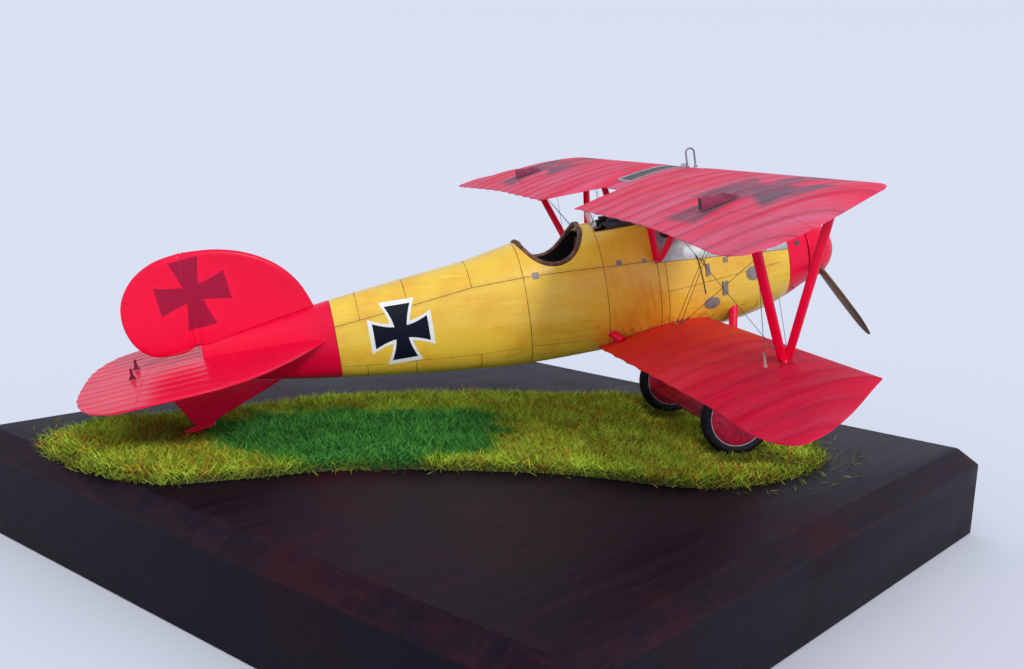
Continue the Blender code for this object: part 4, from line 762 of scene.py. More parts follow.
def spline(points, steps, closed=False):
    """A smooth line through points, with that many steps between each two."""
    points = [Vector(p) for p in points]
    count = len(points)
    result = []
    for i in range(count if closed else count - 1):
        if closed:
            p0, p1, p2, p3 = (points[(i + k) % count] for k in (-1, 0, 1, 2))
        else:
            p0, p1, p2, p3 = (points[min(max(i + k, 0), count - 1)] for k in (-1, 0, 1, 2))
        for k in range(steps):
            t = k / steps
            result.append(0.5 * (2.0 * p1 + (p2 - p0) * t + (2.0 * p0 - 5.0 * p1 + 4.0 * p2 - p3) * t * t
                                 + (3.0 * p1 - p0 - 3.0 * p2 + p3) * t**3))
    return result if closed else result + [points[-1]]


def spaced(start, end, step):
    count = max(1, round((end - start) / step))
    return [start + (end - start) * i / count for i in range(count + 1)]


def along(rows, x):
    """The second value of a table at a first value, on straight lines between its rows."""
    for (x0, y0), (x1, y1) in zip(rows, rows[1:]):
        if x <= x1:
            return y0 + (y1 - y0) * max(0.0, x - x0) / (x1 - x0)
    return rows[-1][1]


def prism(outline, low_x, high_x):
    """A side outline of (aft, up) points, carried across from low_x to high_x."""
    return Shape().loft([[(x, p[0], p[1]) for p in outline] for x in (low_x, high_x)])


def body_size(station):
    """Top, bottom and half width at a distance aft, on a smooth curve through the stations."""
    rows = BODY_STATIONS
    last = len(rows) - 1
    i = max(k for k in range(last) if station >= rows[k][0] or k == 0)
    before, here, there, after = rows[max(i - 1, 0)], rows[i], rows[i + 1], rows[min(i + 2, last)]
    span = there[0] - here[0]
    t = (station - here[0]) / span
    values = []
    for k in (1, 2, 3):
        slope_here = (there[k] - before[k]) / (there[0] - before[0]) * span
        slope_there = (after[k] - here[k]) / (after[0] - here[0]) * span
        values.append((2 * t**3 - 3 * t**2 + 1) * here[k] + (t**3 - 2 * t**2 + t) * slope_here
                      + (3 * t**2 - 2 * t**3) * there[k] + (t**3 - t**2) * slope_there)
    return values


def body_ring(station, grow=0.0, count=96):
    top, bottom, half_width = body_size(station)
    centre, half_height = 0.5 * (top + bottom), 0.5 * (top - bottom) + grow
    power = 2.0 / BODY_SQUARENESS
    ring = []
    for i in range(count):
        c, s = math.cos(2.0 * math.pi * i / count), math.sin(2.0 * math.pi * i / count)
        ring.append(((half_width + grow) * math.copysign(abs(c) ** power, c), station,
                     centre + half_height * math.copysign(abs(s) ** power, s)))
    return ring


def body_side(station, height, grow=0.0):
    """Half width of the body at a height."""
    top, bottom, half_width = body_size(station)
    centre, half_height = 0.5 * (top + bottom), 0.5 * (top - bottom) + grow
    rise = min(1.0, abs(height - centre) / half_height)
    return (half_width + grow) * (1.0 - rise**BODY_SQUARENESS) ** (1.0 / BODY_SQUARENESS)


def body_top(station, x, grow=0.0):
    """Height of the body's upper surface at a distance from the centreline."""
    top, bottom, half_width = body_size(station)
    reach = min(1.0, abs(x) / (half_width + grow))
    return 0.5 * (top + bottom) + (0.5 * (top - bottom) + grow) * (1.0 - reach**BODY_SQUARENESS) ** (
        1.0 / BODY_SQUARENESS)


def body_shape(start, end, grow=0.0, step=1.3, grooves=(), count=96):
    """A length of the body; grooves are stations where panels meet in a fine joint."""
    stations = [(s, 0.0) for s in spaced(start, end, step) if all(abs(s - g) > 0.4 for g in grooves)
                or s in (start, end)]
    for g in grooves:
        stations += [(g - 0.15, 0.0), (g - 0.05, -0.07), (g + 0.05, -0.07), (g + 0.15, 0.0)]
    return Shape().loft([body_ring(s, grow + dip, count) for s, dip in sorted(stations)])


def section_height(t, chord, thickness, camber, sharp):
    """Middle line and half thickness of an aerofoil at a fraction of its chord."""
    peak = 0.38
    if t < peak:
        mean = camber / peak**2 * (2 * peak * t - t * t)
    else:
        mean = camber / (1 - peak) ** 2 * (1 - 2 * peak + 2 * peak * t - t * t)
    half = 5 * thickness * (0.2969 * math.sqrt(t) - 0.126 * t - 0.3516 * t**2 + 0.2843 * t**3 - 0.1015 * t**4)
    return mean * chord, max(half * chord, 0.5 * sharp * min(1.0, 8 * t))


def section(lead, trail, thickness, camber, sharp=0.16, points=30, sink=None):
    """Aerofoil points over the top from nose to tail and back below; sink(t) lets the skin in."""
    chord, drop = trail[0] - lead[0], lead[1] - trail[1]
    top, below = [], []
    for i in range(points + 1):
        t = 0.5 - 0.5 * math.cos(math.pi * i / points)
        mean, half = section_height(t, chord, thickness, camber, sharp)
        if sink:
            half = max(half - sink(t), 0.4 * sharp * min(1.0, 8 * t))
        base = lead[1] - drop * t
        top.append((lead[0] + chord * t, base + mean + half))
        below.append((lead[0] + chord * t, base + mean - half))
    return top + below[:0:-1]


def tip_factor(x, start, end):
    return min(1.0, max(0.0, (x - start) / (end - start)))


def upper_edges(x):
    """Leading and trailing points of the upper wing at a distance from the centreline."""
    trail, lead = UPPER_CHORD, 0.0
    if x > UPPER_TIP_X:
        t = (x - UPPER_TIP_X) / (UPPER_HALF_SPAN - UPPER_TIP_X)
        lead = 31.2 * (0.78 * t**0.92 + 0.22 * (1 - math.sqrt(max(0.0, 1 - t**3))))
    trail += 3.2 * tip_factor(x, 50.0, 88.0) ** 1.3
    if x > 88.5:
        trail -= 3.0 * (1 - math.sqrt(max(0.0, 1 - ((x - 88.5) / (UPPER_HALF_SPAN - 88.5)) ** 2)))
    if x < CUT_OUT_HALF:
        trail -= CUT_OUT_DEPTH * (1 - tip_factor(x, 7.6, CUT_OUT_HALF))
    drop = (UPPER_LEAD[1] - UPPER_TRAIL_U) / UPPER_CHORD
    return ((UPPER_LEAD[0] + lead, UPPER_LEAD[1] - drop * lead),
            (UPPER_LEAD[0] + trail, UPPER_LEAD[1] - drop * trail))


def lower_edges(x):
    trail, lead = LOWER_CHORD, 0.0
    if x > LOWER_TIP_X:
        t = (x - LOWER_TIP_X) / (LOWER_HALF_SPAN - LOWER_TIP_X)
        lead = 22.4 * (0.72 * t**0.9 + 0.28 * (1 - math.sqrt(max(0.0, 1 - t**3))))
    trail += 1.0 * tip_factor(x, 62.0, 80.0) ** 1.3
    if x > 80.0:
        trail -= 3.6 * (1 - math.sqrt(max(0.0, 1 - ((x - 80.0) / (LOWER_HALF_SPAN - 80.0)) ** 2)))
    drop = (LOWER_LEAD[1] - LOWER_TRAIL_U) / LOWER_CHORD
    rise = math.tan(LOWER_DIHEDRAL) * max(0.0, x - 8.0)
    return ((LOWER_LEAD[0] + lead, LOWER_LEAD[1] - drop * lead + rise),
            (LOWER_LEAD[0] + trail, LOWER_LEAD[1] - drop * trail + rise))


def tail_edges(x):
    lead, trail = along(TAIL_LEADING, x), along(TAIL_TRAILING, x)
    return ((lead, TAIL_LEAD_U + TAIL_SLOPE * (lead - TAIL_ROOT)),
            (trail, TAIL_LEAD_U + TAIL_SLOPE * (trail - TAIL_ROOT)))


UPPER = {"edges": upper_edges, "thickness": WING_THICKNESS, "camber": WING_CAMBER, "sharp": 0.16,
         "front": UPPER_LEAD[0], "first": 13.4, "pitch": RIB_PITCH, "sag": 0.17, "scallop": 0.30}
LOWER = {"edges": lower_edges, "thickness": LOWER_THICKNESS, "camber": WING_CAMBER, "sharp": 0.16,
         "front": LOWER_LEAD[0], "first": 9.6, "pitch": RIB_PITCH, "sag": 0.15, "scallop": 0.22}
TAIL = {"edges": tail_edges, "thickness": 0.045, "camber": 0.0, "sharp": 0.3,
        "front": 110.0, "first": 3.4, "pitch": 4.2, "sag": 0.05, "scallop": 0.06}


def surface(wing, x, a, lift=0.0, under=False):
    """A point on a wing's top or underside, at a distance out and a distance aft."""
    lead, trail = wing["edges"](abs(x))
    t = min(1.0, max(0.0, (a - lead[0]) / (trail[0] - lead[0])))
    mean, half = section_height(t, trail[0] - lead[0], wing["thickness"], wing["camber"], wing["sharp"])
    base = lead[1] + (trail[1] - lead[1]) * t + mean
    return (x, a, base - half - lift if under else base + half + lift)


def wing_shape(wing, low, high, lift=0.0, fabric=True, points=30):
    """A wing between two distances out: its skin sags between ribs, and its trailing edge is scalloped."""
    first, pitch = wing["first"], wing["pitch"]
    stations = {round(low, 4), round(high, 4)}
    ribs = [first + pitch * k for k in range(-1, int((UPPER_HALF_SPAN - first) / pitch) + 2)]
    for rib in ribs:
        marks = [rib - 0.36, rib - 0.24, rib + 0.24, rib + 0.36] if fabric else [rib]
        marks += [rib + pitch * f for f in ((0.16, 0.3, 0.5, 0.7, 0.84) if fabric else (0.5,))]
        for x in marks:
            stations |= {s * x for s in (-1.0, 1.0) if abs(x) > 0.05}
    reach = max(abs(low), abs(high))
    for x in spaced(reach - 9.0, reach, 0.55):
        stations |= {-x, x}
    kept = []
    for x in sorted(s for s in stations if low - 1e-6 <= s <= high + 1e-6):
        if not kept or x - kept[-1] > 0.05:
            kept.append(x)
    rings = []
    for x in kept:
        lead, trail = wing["edges"](abs(x))
        across = ((abs(x) - first) / pitch) % 1.0
        wave = math.sin(math.pi * across) ** 2 if fabric else 0.0
        size = min(1.0, (trail[0] - lead[0]) / 12.0)
        close = min(across, 1.0 - across) * pitch
        tape = 0.05 if fabric and close < 0.3 else 0.0
        depth = wing["sag"] * wave * size - tape
        bite = wing["scallop"] * wave * size * (1.0 - 0.8 * tip_factor(abs(x), 40.0, 70.0))
        span = trail[0] - lead[0]
        trail = (trail[0] - bite, trail[1] + (lead[1] - trail[1]) * bite / span)

        def sink(t, depth=depth):
            return depth * min(1.0, max(0.0, (t - 0.05) / 0.12)) - lift

        rings.append([(x, y, z) for y, z in section(lead, trail, wing["thickness"], wing["camber"],
                                                    wing["sharp"], points, sink)])
    return Shape().loft(rings)


# Stand

MAT_OUTLINE = (
    (0.0, 87.0), (13.0, 81.0), (17.5, 68.0), (23.0, 51.5), (33.0, 32.0), (36.0, 10.0), (35.0, -14.0),
    (33.0, -40.0), (22.0, -56.0), (6.0, -63.0), (-10.0, -65.5), (-23.0, -62.0), (-32.0, -52.0),
    (-38.0, -38.0), (-37.0, -26.0), (-27.5, -7.0), (-22.5, 19.0), (-22.0, 36.0), (-25.5, 52.0),
    (-27.5, 64.0), (-21.0, 75.0), (-12.0, 83.0),
)
MAT_CENTRE = Vector((0.0, 15.0))
WHEEL_PLACES = [AIR @ Vector((side * WHEEL_X, AXLE_A, AXLE_U)) / MM for side in (-1, 1)]
SKID_PLACE = AIR @ Vector((0.0, 139.0, -13.6)) / MM


def build_plinth():
    """A square board: flat sides, a wide chamfer round the top, and arrises eased by sanding."""
    half, high, cut, ease = 0.5 * PLINTH_SIDE, PLINTH_THICKNESS, PLINTH_CHAMFER, 0.35
    profile = [(0.3, 0.0), (0.0, 0.3), (0.0, high - cut - ease), (0.04, high - cut - 0.4 * ease),
               (0.16, high - cut + 0.3 * ease), (cut - 0.45 * ease, high - 0.75 * ease),
               (cut + 0.05, high - 0.3 * ease), (cut + 0.4 * ease, high - 0.05), (cut + ease, high)]
    rings = []
    for inset, z in profile:
        reach = half - inset
        corner = min(0.5, 0.45 + 0.12 * inset)
        ring = []
        for quarter in range(4):
            turn = math.radians(90.0 * quarter)
            for k in range(5):
                angle = turn + math.radians(22.5 * k)
                middle = Vector((reach - corner, reach - corner))
                middle.rotate(Matrix.Rotation(turn, 2))
                ring.append((middle.x + corner * math.cos(angle), middle.y + corner * math.sin(angle), z))
            for k in range(1, 24):
                start = Vector((reach - corner, reach))
                start.rotate(Matrix.Rotation(turn, 2))
                end = Vector((-reach + corner, reach))
                end.rotate(Matrix.Rotation(turn, 2))
                p = start.lerp(end, k / 24)
                ring.append((p.x, p.y, z))
        rings.append(ring)
    turned = Matrix.Rotation(PLINTH_TURN, 4, "Z")
    piece("board", Shape(turned).loft(rings), "stained_wood", "stained_wood", stands_for=("plinth",),
          where=STAND, angle=25.0)


def ground_height(x, y):
    """Height of the soil: uneven, with a hollow under each wheel."""
    bumps = noise.noise((x * 0.11, y * 0.11, 0.3)) * 0.35 + noise.noise((x * 0.5, y * 0.5, 4.0)) * 0.18
    height = MAT_TOP + 0.1 + bumps
    for wheel in WHEEL_PLACES:
        behind = abs(y - wheel.y)
        reach = TYRE_RADIUS + 0.3
        if abs(x - wheel.x) < 1.9 and behind < reach:
            height = min(height, wheel.z - math.sqrt(reach**2 - behind**2))
        if -12.0 < x - wheel.x < 2.0 and behind < 8.0:
            height = min(height, PLINTH_THICKNESS + 0.35 + 0.1 * bumps)
    return max(height, PLINTH_THICKNESS + 0.12)


def ground_outline():
    rim = spline(MAT_OUTLINE, 9, closed=True)
    return [p * (1.0 + 0.012 * noise.noise((p.x * 0.35, p.y * 0.35, 1.0))) for p in rim]


def build_ground():
    rim = ground_outline()
    low = PLINTH_THICKNESS + SEAM
    rings = [[(p.x, p.y, low) for p in rim]]
    for f in (1.0, 0.992, 0.98, 0.96) + tuple(0.94 - 0.04 * k for k in range(23)) + (0.02,):
        ring = []
        for p in rim:
            q = MAT_CENTRE + (p - MAT_CENTRE) * f
            edge = min(1.0, max(0.05, (1.0 - f) * 18.0))
            ring.append((q.x, q.y, max(low + 0.05, low + (ground_height(q.x, q.y) - low) * edge)))
        rings.append(ring)
    piece("soil", Shape().loft(rings), "groundwork", "grass", stands_for=("grass_mat",), where=STAND)


def fibre_shape():
    """One bent fibre a millimetre long, three-sided, that the grass is made of."""
    rings = []
    for height, lean, width in ((0.0, 0.0, 0.026), (0.55, 0.16, 0.024)):
        rings.append([(lean + width * math.cos(t), width * math.sin(t), height)
                      for t in (0.0, 2.0 * math.pi / 3.0, 4.0 * math.pi / 3.0)])
    points = [p for ring in rings for p in ring] + [(0.48, 0.0, 0.95)]
    faces = [(2, 1, 0)] + [(i, (i + 1) % 3, 3 + (i + 1) % 3, 3 + i) for i in range(3)]
    faces += [(3 + i, 3 + (i + 1) % 3, 6) for i in range(3)]
    return Shape().add(points, faces)


class Tree:
    """A Geometry Nodes group: nodes by one call, with named inputs."""

    def __init__(self, name, inputs):
        self.group = bpy.data.node_groups.new(name, "GeometryNodeTree")
        face = self.group.interface
        face.new_socket("Geometry", in_out="INPUT", socket_type="NodeSocketGeometry")
        self.keys = {}
        for label, kind, value in inputs:
            socket = face.new_socket(label, in_out="INPUT", socket_type="NodeSocket" + kind)
            if value is not None:
                socket.default_value = value
            self.keys[label] = socket.identifier
        face.new_socket("Geometry", in_out="OUTPUT", socket_type="NodeSocketGeometry")
        self.start = self.group.nodes.new("NodeGroupInput")
        self.end = self.group.nodes.new("NodeGroupOutput")

    def __getitem__(self, label):
        return self.start.outputs[label]

    def node(self, kind, settings=None, out=0, **values):
        made = self.group.nodes.new(kind)
        for key, value in (settings or {}).items():
            setattr(made, key, value)
        for key, value in values.items():
            socket = made.inputs[int(key[1:])] if key[0] == "_" else made.inputs[key.replace("_", " ")]
            if isinstance(value, bpy.types.NodeSocket):
                self.group.links.new(value, socket)
            else:
                socket.default_value = value
        return made.outputs[out]

    def close(self, geometry, paint):
        real = self.node("GeometryNodeRealizeInstances", Geometry=geometry)
        done = self.node("GeometryNodeSetMaterial", Geometry=real, Material=PAINT[paint])
        self.group.links.new(done, self.end.inputs[0])
        return self

    def grow(self, carrier, **values):
        """The tree's result on a carrying object, as a plain mesh on a new object."""
        step = carrier.modifiers.new("tree", "NODES")
        step.node_group = self.group
        for label, value in values.items():
            step[self.keys[label.replace("_", " ")]] = value
        graph = bpy.context.evaluated_depsgraph_get()
        mesh = bpy.data.meshes.new_from_object(carrier.evaluated_get(graph))
        carrier.modifiers.remove(step)
        return mesh


def scatter_tree(paint):
    """Fibres standing on a surface, leaning and turned at random, each with its own shade."""
    tree = Tree("scatter_fibres", (("Fibre", "Object", None), ("Density", "Float", 1.0), ("Shortest", "Float", 0.002),
                                   ("Longest", "Float", 0.004), ("Lean", "Float", 0.5), ("Seed", "Int", 0)))
    thick = tree.node("GeometryNodeInputNamedAttribute", {"data_type": "FLOAT"}, Name="cover")
    amount = tree.node("ShaderNodeMath", {"operation": "MULTIPLY"}, _0=thick, _1=tree["Density"])
    spots = tree.node("GeometryNodeDistributePointsOnFaces", Mesh=tree["Geometry"], Density=amount, Seed=tree["Seed"])
    fibre = tree.node("GeometryNodeObjectInfo", out=4, Object=tree["Fibre"])
    lean_low = tree.node("ShaderNodeMath", {"operation": "MULTIPLY"}, _0=tree["Lean"], _1=-1.0)
    tilt = tree.node("FunctionNodeRandomValue", {"data_type": "FLOAT"}, out=1, _2=lean_low, _3=tree["Lean"], Seed=3)
    turn = tree.node("FunctionNodeRandomValue", {"data_type": "FLOAT"}, out=1, _2=0.0, _3=math.tau, Seed=5)
    angles = tree.node("ShaderNodeCombineXYZ", X=tilt, Y=0.0, Z=turn)
    tall = tree.node("FunctionNodeRandomValue", {"data_type": "FLOAT"}, out=1, _2=tree["Shortest"],
                     _3=tree["Longest"], Seed=7)
    height = tree.node("GeometryNodeInputNamedAttribute", {"data_type": "FLOAT"}, Name="tall")
    scaled = tree.node("ShaderNodeMath", {"operation": "MULTIPLY"}, _0=tall, _1=height)
    size = tree.node("ShaderNodeCombineXYZ", X=tree["Longest"], Y=tree["Longest"], Z=scaled)
    blades = tree.node("GeometryNodeInstanceOnPoints", Points=spots, Instance=fibre, Rotation=angles, Scale=size)
    shade = tree.node("FunctionNodeRandomValue", {"data_type": "FLOAT"}, out=1, _2=0.0, _3=1.0, Seed=11)
    shaded = tree.node("GeometryNodeStoreNamedAttribute", {"data_type": "FLOAT", "domain": "INSTANCE"},
                       Geometry=blades, Name="shade", Value=shade)
    return tree.close(shaded, paint)


def ground_cover(x, y, f):
    """How thick and how tall the grass stands at a point of the mat."""
    cover = 1.0 if f < 0.97 else 0.6
    if f > 1.02:
        on_board = Matrix.Rotation(-PLINTH_TURN, 2) @ Vector((x, y))
        flat = PLINTH_SIDE * 0.5 - PLINTH_CHAMFER - 2.0
        cover = 0.02 if max(abs(on_board.x), abs(on_board.y)) < flat else 0.0
    tall = (0.85 if f < 1.02 else 0.4) + 0.35 * noise.noise((x * 0.14, y * 0.14, 7.0))
    for wheel in WHEEL_PLACES:
        if abs(x - wheel.x) < 1.6 and abs(y - wheel.y) < 5.5:
            cover = 0.0
        elif -14.0 < x - wheel.x < 3.5 and abs(y - wheel.y) < 9.0:
            tall *= 0.5
    if -10.0 < x - SKID_PLACE.x < 2.0 and abs(y - SKID_PLACE.y) < 6.0:
        tall *= 0.5
    return cover, tall


def dark_green(x, y):
    """1 inside the darker green patch, 0 outside it, ragged at its edge."""
    x += 5.0 * noise.noise((x * 0.16, y * 0.16, 2.0)) + 2.0 * noise.noise((x * 0.6, y * 0.6, 5.0))
    y += 6.0 * noise.noise((x * 0.16, y * 0.16, 9.0)) + 2.0 * noise.noise((x * 0.6, y * 0.6, 7.0))
    inside, nearest = False, 99.0
    for (x0, y0), (x1, y1) in zip(GREEN_OUTLINE, GREEN_OUTLINE[1:] + GREEN_OUTLINE[:1]):
        if (y0 > y) != (y1 > y) and x < x0 + (x1 - x0) * (y - y0) / (y1 - y0):
            inside = not inside
        run = Vector((x1 - x0, y1 - y0))
        t = min(1.0, max(0.0, (Vector((x - x0, y - y0)).dot(run)) / run.length_squared))
        nearest = min(nearest, (Vector((x, y)) - Vector((x0, y0)) - run * t).length)
    return min(1.0, max(0.0, 0.5 + (1.5 + (nearest if inside else -nearest)) / 7.0))


GREEN_OUTLINE = (
    (6.0, 57.6), (17.7, 39.0), (14.0, 17.8), (15.8, -0.4), (2.5, -2.0), (-16.0, 6.3), (-21.7, 22.7),
    (-20.2, 41.0), (-12.6, 53.6),
)


def build_grass():
    """Static grass in four pieces from fore to aft, each of a fixed random pattern."""
    rim = ground_outline()
    fibre = solid("fibre", fibre_shape(), Matrix.Identity(4))
    fractions = [1.14, 1.03, 1.015, 0.985] + [0.95 - 0.045 * k for k in range(21)] + [0.02]
    count = len(rim)
    tree = scatter_tree("grass_fibre")
    for name, start, end, seed in (("grass_fore", -90.0, -33.0, 1), ("grass_fore_middle", -33.0, 2.0, 2),
                                   ("grass_aft_middle", 2.0, 43.0, 3), ("grass_aft", 43.0, 100.0, 4)):
        points, covers, talls, greens = [], [], [], []
        for f in fractions:
            for p in rim:
                q = MAT_CENTRE + (p - MAT_CENTRE) * f
                cover, tall = ground_cover(q.x, q.y, f)
                points.append((q.x * MM, q.y * MM, max(PLINTH_THICKNESS + 0.1, ground_height(q.x, q.y) - 0.15
                                                      if f < 0.97 else PLINTH_THICKNESS + 0.12) * MM))
                covers.append(cover)
                talls.append(tall)
                greens.append(dark_green(q.x, q.y))
        faces = []
        for row in range(len(fractions) - 1):
            for i in range(count):
                j = (i + 1) % count
                face = (row * count + i, row * count + j, (row + 1) * count + j, (row + 1) * count + i)
                middle = sum(points[k][1] for k in face) / 4.0 / MM
                if start <= middle < end:
                    faces.append(face)
        mesh = bpy.data.meshes.new("bed")
        mesh.from_pydata(points, [], faces)
        for label, values in (("cover", covers), ("tall", talls), ("green", greens)):
            mesh.attributes.new(label, "FLOAT", "POINT").data.foreach_set("value", values)
        bed = bpy.data.objects.new("bed", mesh)
        bpy.context.scene.collection.objects.link(bed)
        grown = tree.grow(bed, Fibre=fibre, Density=GRASS_DENSITY, Shortest=0.0011, Longest=0.0033, Lean=1.05, Seed=seed)
        bpy.data.objects.remove(bed, do_unlink=True)
        item = bpy.data.objects.new(name, grown)
        bpy.context.scene.collection.objects.link(item)
        own(item, "grass")
    bpy.data.objects.remove(fibre, do_unlink=True)


GRASS_DENSITY = 8.2e6


# Nose, body and cockpit

def carve(item, *shapes):
    for shape in shapes:
        combine(item, shape, "DIFFERENCE")
    return item


def done(item, paint, slot, body="airframe", stands_for=(), angle=35.0):
    finish_mesh(item, paint, angle)
    return own(item, slot, body, stands_for)


def build_spinner():
    """Spinner turned in one sweep, with a rolled back edge and a slot at each blade root."""
    profile = []
    for i in range(1, 25):
        angle = 0.5 * math.pi * i / 24
        profile.append((SPINNER_BACK * (1.0 - math.cos(angle)), SPINNER_RADIUS * math.sin(angle)))
    profile[0] = (0.0, 0.12)
    profile[-4:] = [(SPINNER_BACK - 0.75, SPINNER_RADIUS - 0.03), (SPINNER_BACK - 0.62, SPINNER_RADIUS - 0.12),
                    (SPINNER_BACK - 0.5, SPINNER_RADIUS - 0.02), (SPINNER_BACK - 0.06, SPINNER_RADIUS),
                    (SPINNER_BACK, SPINNER_RADIUS - 0.08)]
    item = solid("spinner_shell", Shape().turned(profile, "Y", steps=72))
    bore = Shape().turned([(SPINNER_BACK - 1.2, SHAFT_RADIUS + SEAM), (SPINNER_BACK + 1.0, SHAFT_RADIUS + SEAM)],
                          "Y", steps=24)
    carve(item, bore, *(blade_shape(side, 0.3, 3.9, 12.0, 16) for side in (-1, 1)))
    done(item, "red_paint", "red_paint", "propeller", ("spinner",), 30.0)


def blade_shape(side, grow, start, end, count):
    """A twisted blade from the hub to its rounded tip, with a flat back and a cambered front."""
    turn = Matrix.Rotation(PROPELLER_TURN, 3, "Y")
    rings = []
    for i in range(count + 1):
        t = 1.0 - (1.0 - i / count) ** 1.5
        r = start + (end - start) * t
        f = r / PROPELLER_RADIUS
        chord = 1.9 + 1.0 * math.sin(math.pi * min(1.0, f * 0.95)) ** 0.8
        if f > 0.82:
            chord *= math.sqrt(max(0.02, 1.0 - ((f - 0.82) / 0.184) ** 2))
        thick = 1.25 * (1.0 - 0.78 * f) + 0.12
        pitch = math.atan2(PROPELLER_PITCH, math.tau * max(r, 3.0))
        ring = []
        for k in range(24):
            angle = 2.0 * math.pi * k / 24
            p = (0.5 * chord + grow) * math.cos(angle)
            q = (0.5 * thick + grow) * math.sin(angle)
            if not grow:
                q = q * (0.75 if q > 0.0 else 1.0) * abs(math.sin(angle)) ** -0.15 if abs(q) > 1e-4 else q
            point = Vector((side * (p * math.cos(pitch) - q * math.sin(pitch)),
                            p * math.sin(pitch) + q * math.cos(pitch), side * r))
            ring.append(tuple(turn @ point + Vector((0.0, PROPELLER_STATION, 0.0))))
        rings.append(ring)
    return Shape().loft(rings)


def build_blades():
    for side, word in ((-1, "a"), (1, "b")):
        piece("blade_" + word, blade_shape(side, 0.0, 4.3, PROPELLER_RADIUS, 40), "laminated_wood",
              "laminated_wood", "propeller", ("propeller_blade_" + word,))


def cowl_block(grow):
    """The space above the side edge of the upper cowl panel."""
    (front, low), (rear, high) = COWL_EDGE
    return prism([(front, low - grow), (rear + grow, high - grow), (rear + grow, 30.0), (front, 30.0)], -20.0, 20.0)


def scoop_outline(gap=0.0):
    centre = Vector((63.2, 14.0))
    rim = spline(COCKPIT_SCOOP, 4)
    return [centre + (p - centre) * (1.0 - gap / (p - centre).length) for p in rim]


def build_nose():
    shape = body_shape(8.7, NOSE_BAND_END - 0.05, step=0.5)
    shape.turned([(SPINNER_BACK - 0.9, SHAFT_RADIUS), (9.6, SHAFT_RADIUS)], "Y", steps=24)
    item = solid("nose_ring", shape)
    done(item, "red_paint", "red_paint", stands_for=("nose_band",))
    fittings = Shape()
    for side in (-1, 1):
        for a, u in ((12.6, 6.1), (12.6, -6.6)):
            fittings.ball((side * (body_side(a, u) + 0.02), a, u), 0.28, 10)
        # a filler with its short rod, low on the band
        base = Vector((side * body_side(11.4, 3.0), 11.4, 3.0))
        fittings.turned([(0.0, 0.55), (0.18, 0.55), (0.28, 0.42), (0.30, 0.05)], "X",
                        (base.x if side > 0 else base.x - 0.3, base.y, base.z), 18)
    piece("nose_fittings", fittings, "engine_metal", "gun_metal")


def build_fuselage():
    item = solid("hull", body_shape(NOSE_BAND_END + 0.05, TAIL_BAND_START - 0.05, grooves=[line for line, parts in FRAME_LINES.items() if parts == "all"] + [41.4]))
    carve(item, cowl_block(SEAM), Shape().box((-20.0, COWL_REAR - 5.0, DECK_HEIGHT), (20.0, DECK_REAR, 30.0)),
          body_shape(CAVITY_FRONT, CAVITY_REAR, -BODY_WALL, 2.5, count=72), prism(scoop_outline(), -20.0, 20.0))
    done(item, "varnished_ply", "varnished_ply", stands_for=("fuselage",), angle=30.0)


def on_body(side, station, height, lift=0.0):
    return (side * body_side(station, height, lift), station, height)


def plate(shape, side, low, high, lift, cells=(3, 3), bevel=True):
    """A small panel that follows the body's side between two corners."""
    thick = 0.07
    return shape.patch(lambda s, t, z: on_body(side, s, t, lift + z), low, high, thick, cells)


def build_side_plates():
    """Access covers and slots on both sides of the body."""
    covers, slots = Shape(), Shape()
    for side in (-1, 1):
        for a, u, half in ((68.5, 6.2, 0.62), (51.1, 5.75, 0.55), (45.8, 5.35, 0.4), (43.3, 4.5, 0.3), (28.3, 2.5, 0.55)):
            plate(covers, side, (a - half, u - half), (a + half, u + half), 0.02, (3, 3))
            for da in (-0.7, 0.7):
                for du in (-0.7, 0.7):
                    covers.ball(on_body(side, a + da * half, u + du * half, 0.1), 0.07, 6)
        for a, u, wide, tall in ((32.4, 1.1, 0.42, 1.3), (28.9, -3.4, 0.58, 1.5)):
            plate(covers, side, (a - wide, u - tall), (a + wide, u + tall), 0.02, (2, 5))
            plate(slots, side, (a + wide, u - tall), (a + wide + 0.14, u + tall), 0.02, (1, 5))
        for a, u, wide, tall in ((32.0, -6.1, 1.8, 1.3), (22.5, -1.35, 1.55, 1.55)):
            covers.loft([[on_body(side, a + f * wide * math.cos(t), u + f * tall * math.sin(t), 0.03 + z)
                          for t in (math.tau * k / 32 for k in range(32))]
                         for z, f in ((-0.2, 1.0), (0.03, 1.0), (0.07, 0.9), (0.07, 0.3), (0.07, 0.04))])
        pipe = spline([on_body(side, a, u, 0.2) for a, u in ((34.6, 4.6), (34.3, 3.4), (33.9, 0.6), (33.4, -3.8))], 6)
        slots.tube(pipe, 0.09, 8)
        slots.tube(spline([on_body(side, a, u, 0.25) for a, u in ((34.0, 3.6), (33.2, 3.4), (32.9, 2.0))], 4), 0.08, 8)
    piece("side_covers", covers, "plate_grey", "grey_metal")
    piece("side_slots", slots, "gun_metal", "gun_metal")


def arm_points(centre, size, waist, flare):
    """The five patches of a cross pattée: for each, a function of s and t to a place in its plane."""
    cp, cq = centre

    def half(s):
        return waist + (flare - waist) * ((s - waist) / (size - waist)) ** 1.5

    yield (-waist, -1.0), (waist, 1.0), lambda s, t: (cp + s, cq + waist * t)
    for way in (-1, 1):
        yield (waist, -1.0), (size, 1.0), lambda s, t, way=way: (cp + way * s, cq + way * t * half(s))
        yield (waist, -1.0), (size, 1.0), lambda s, t, way=way: (cp - way * t * half(s), cq + way * s)


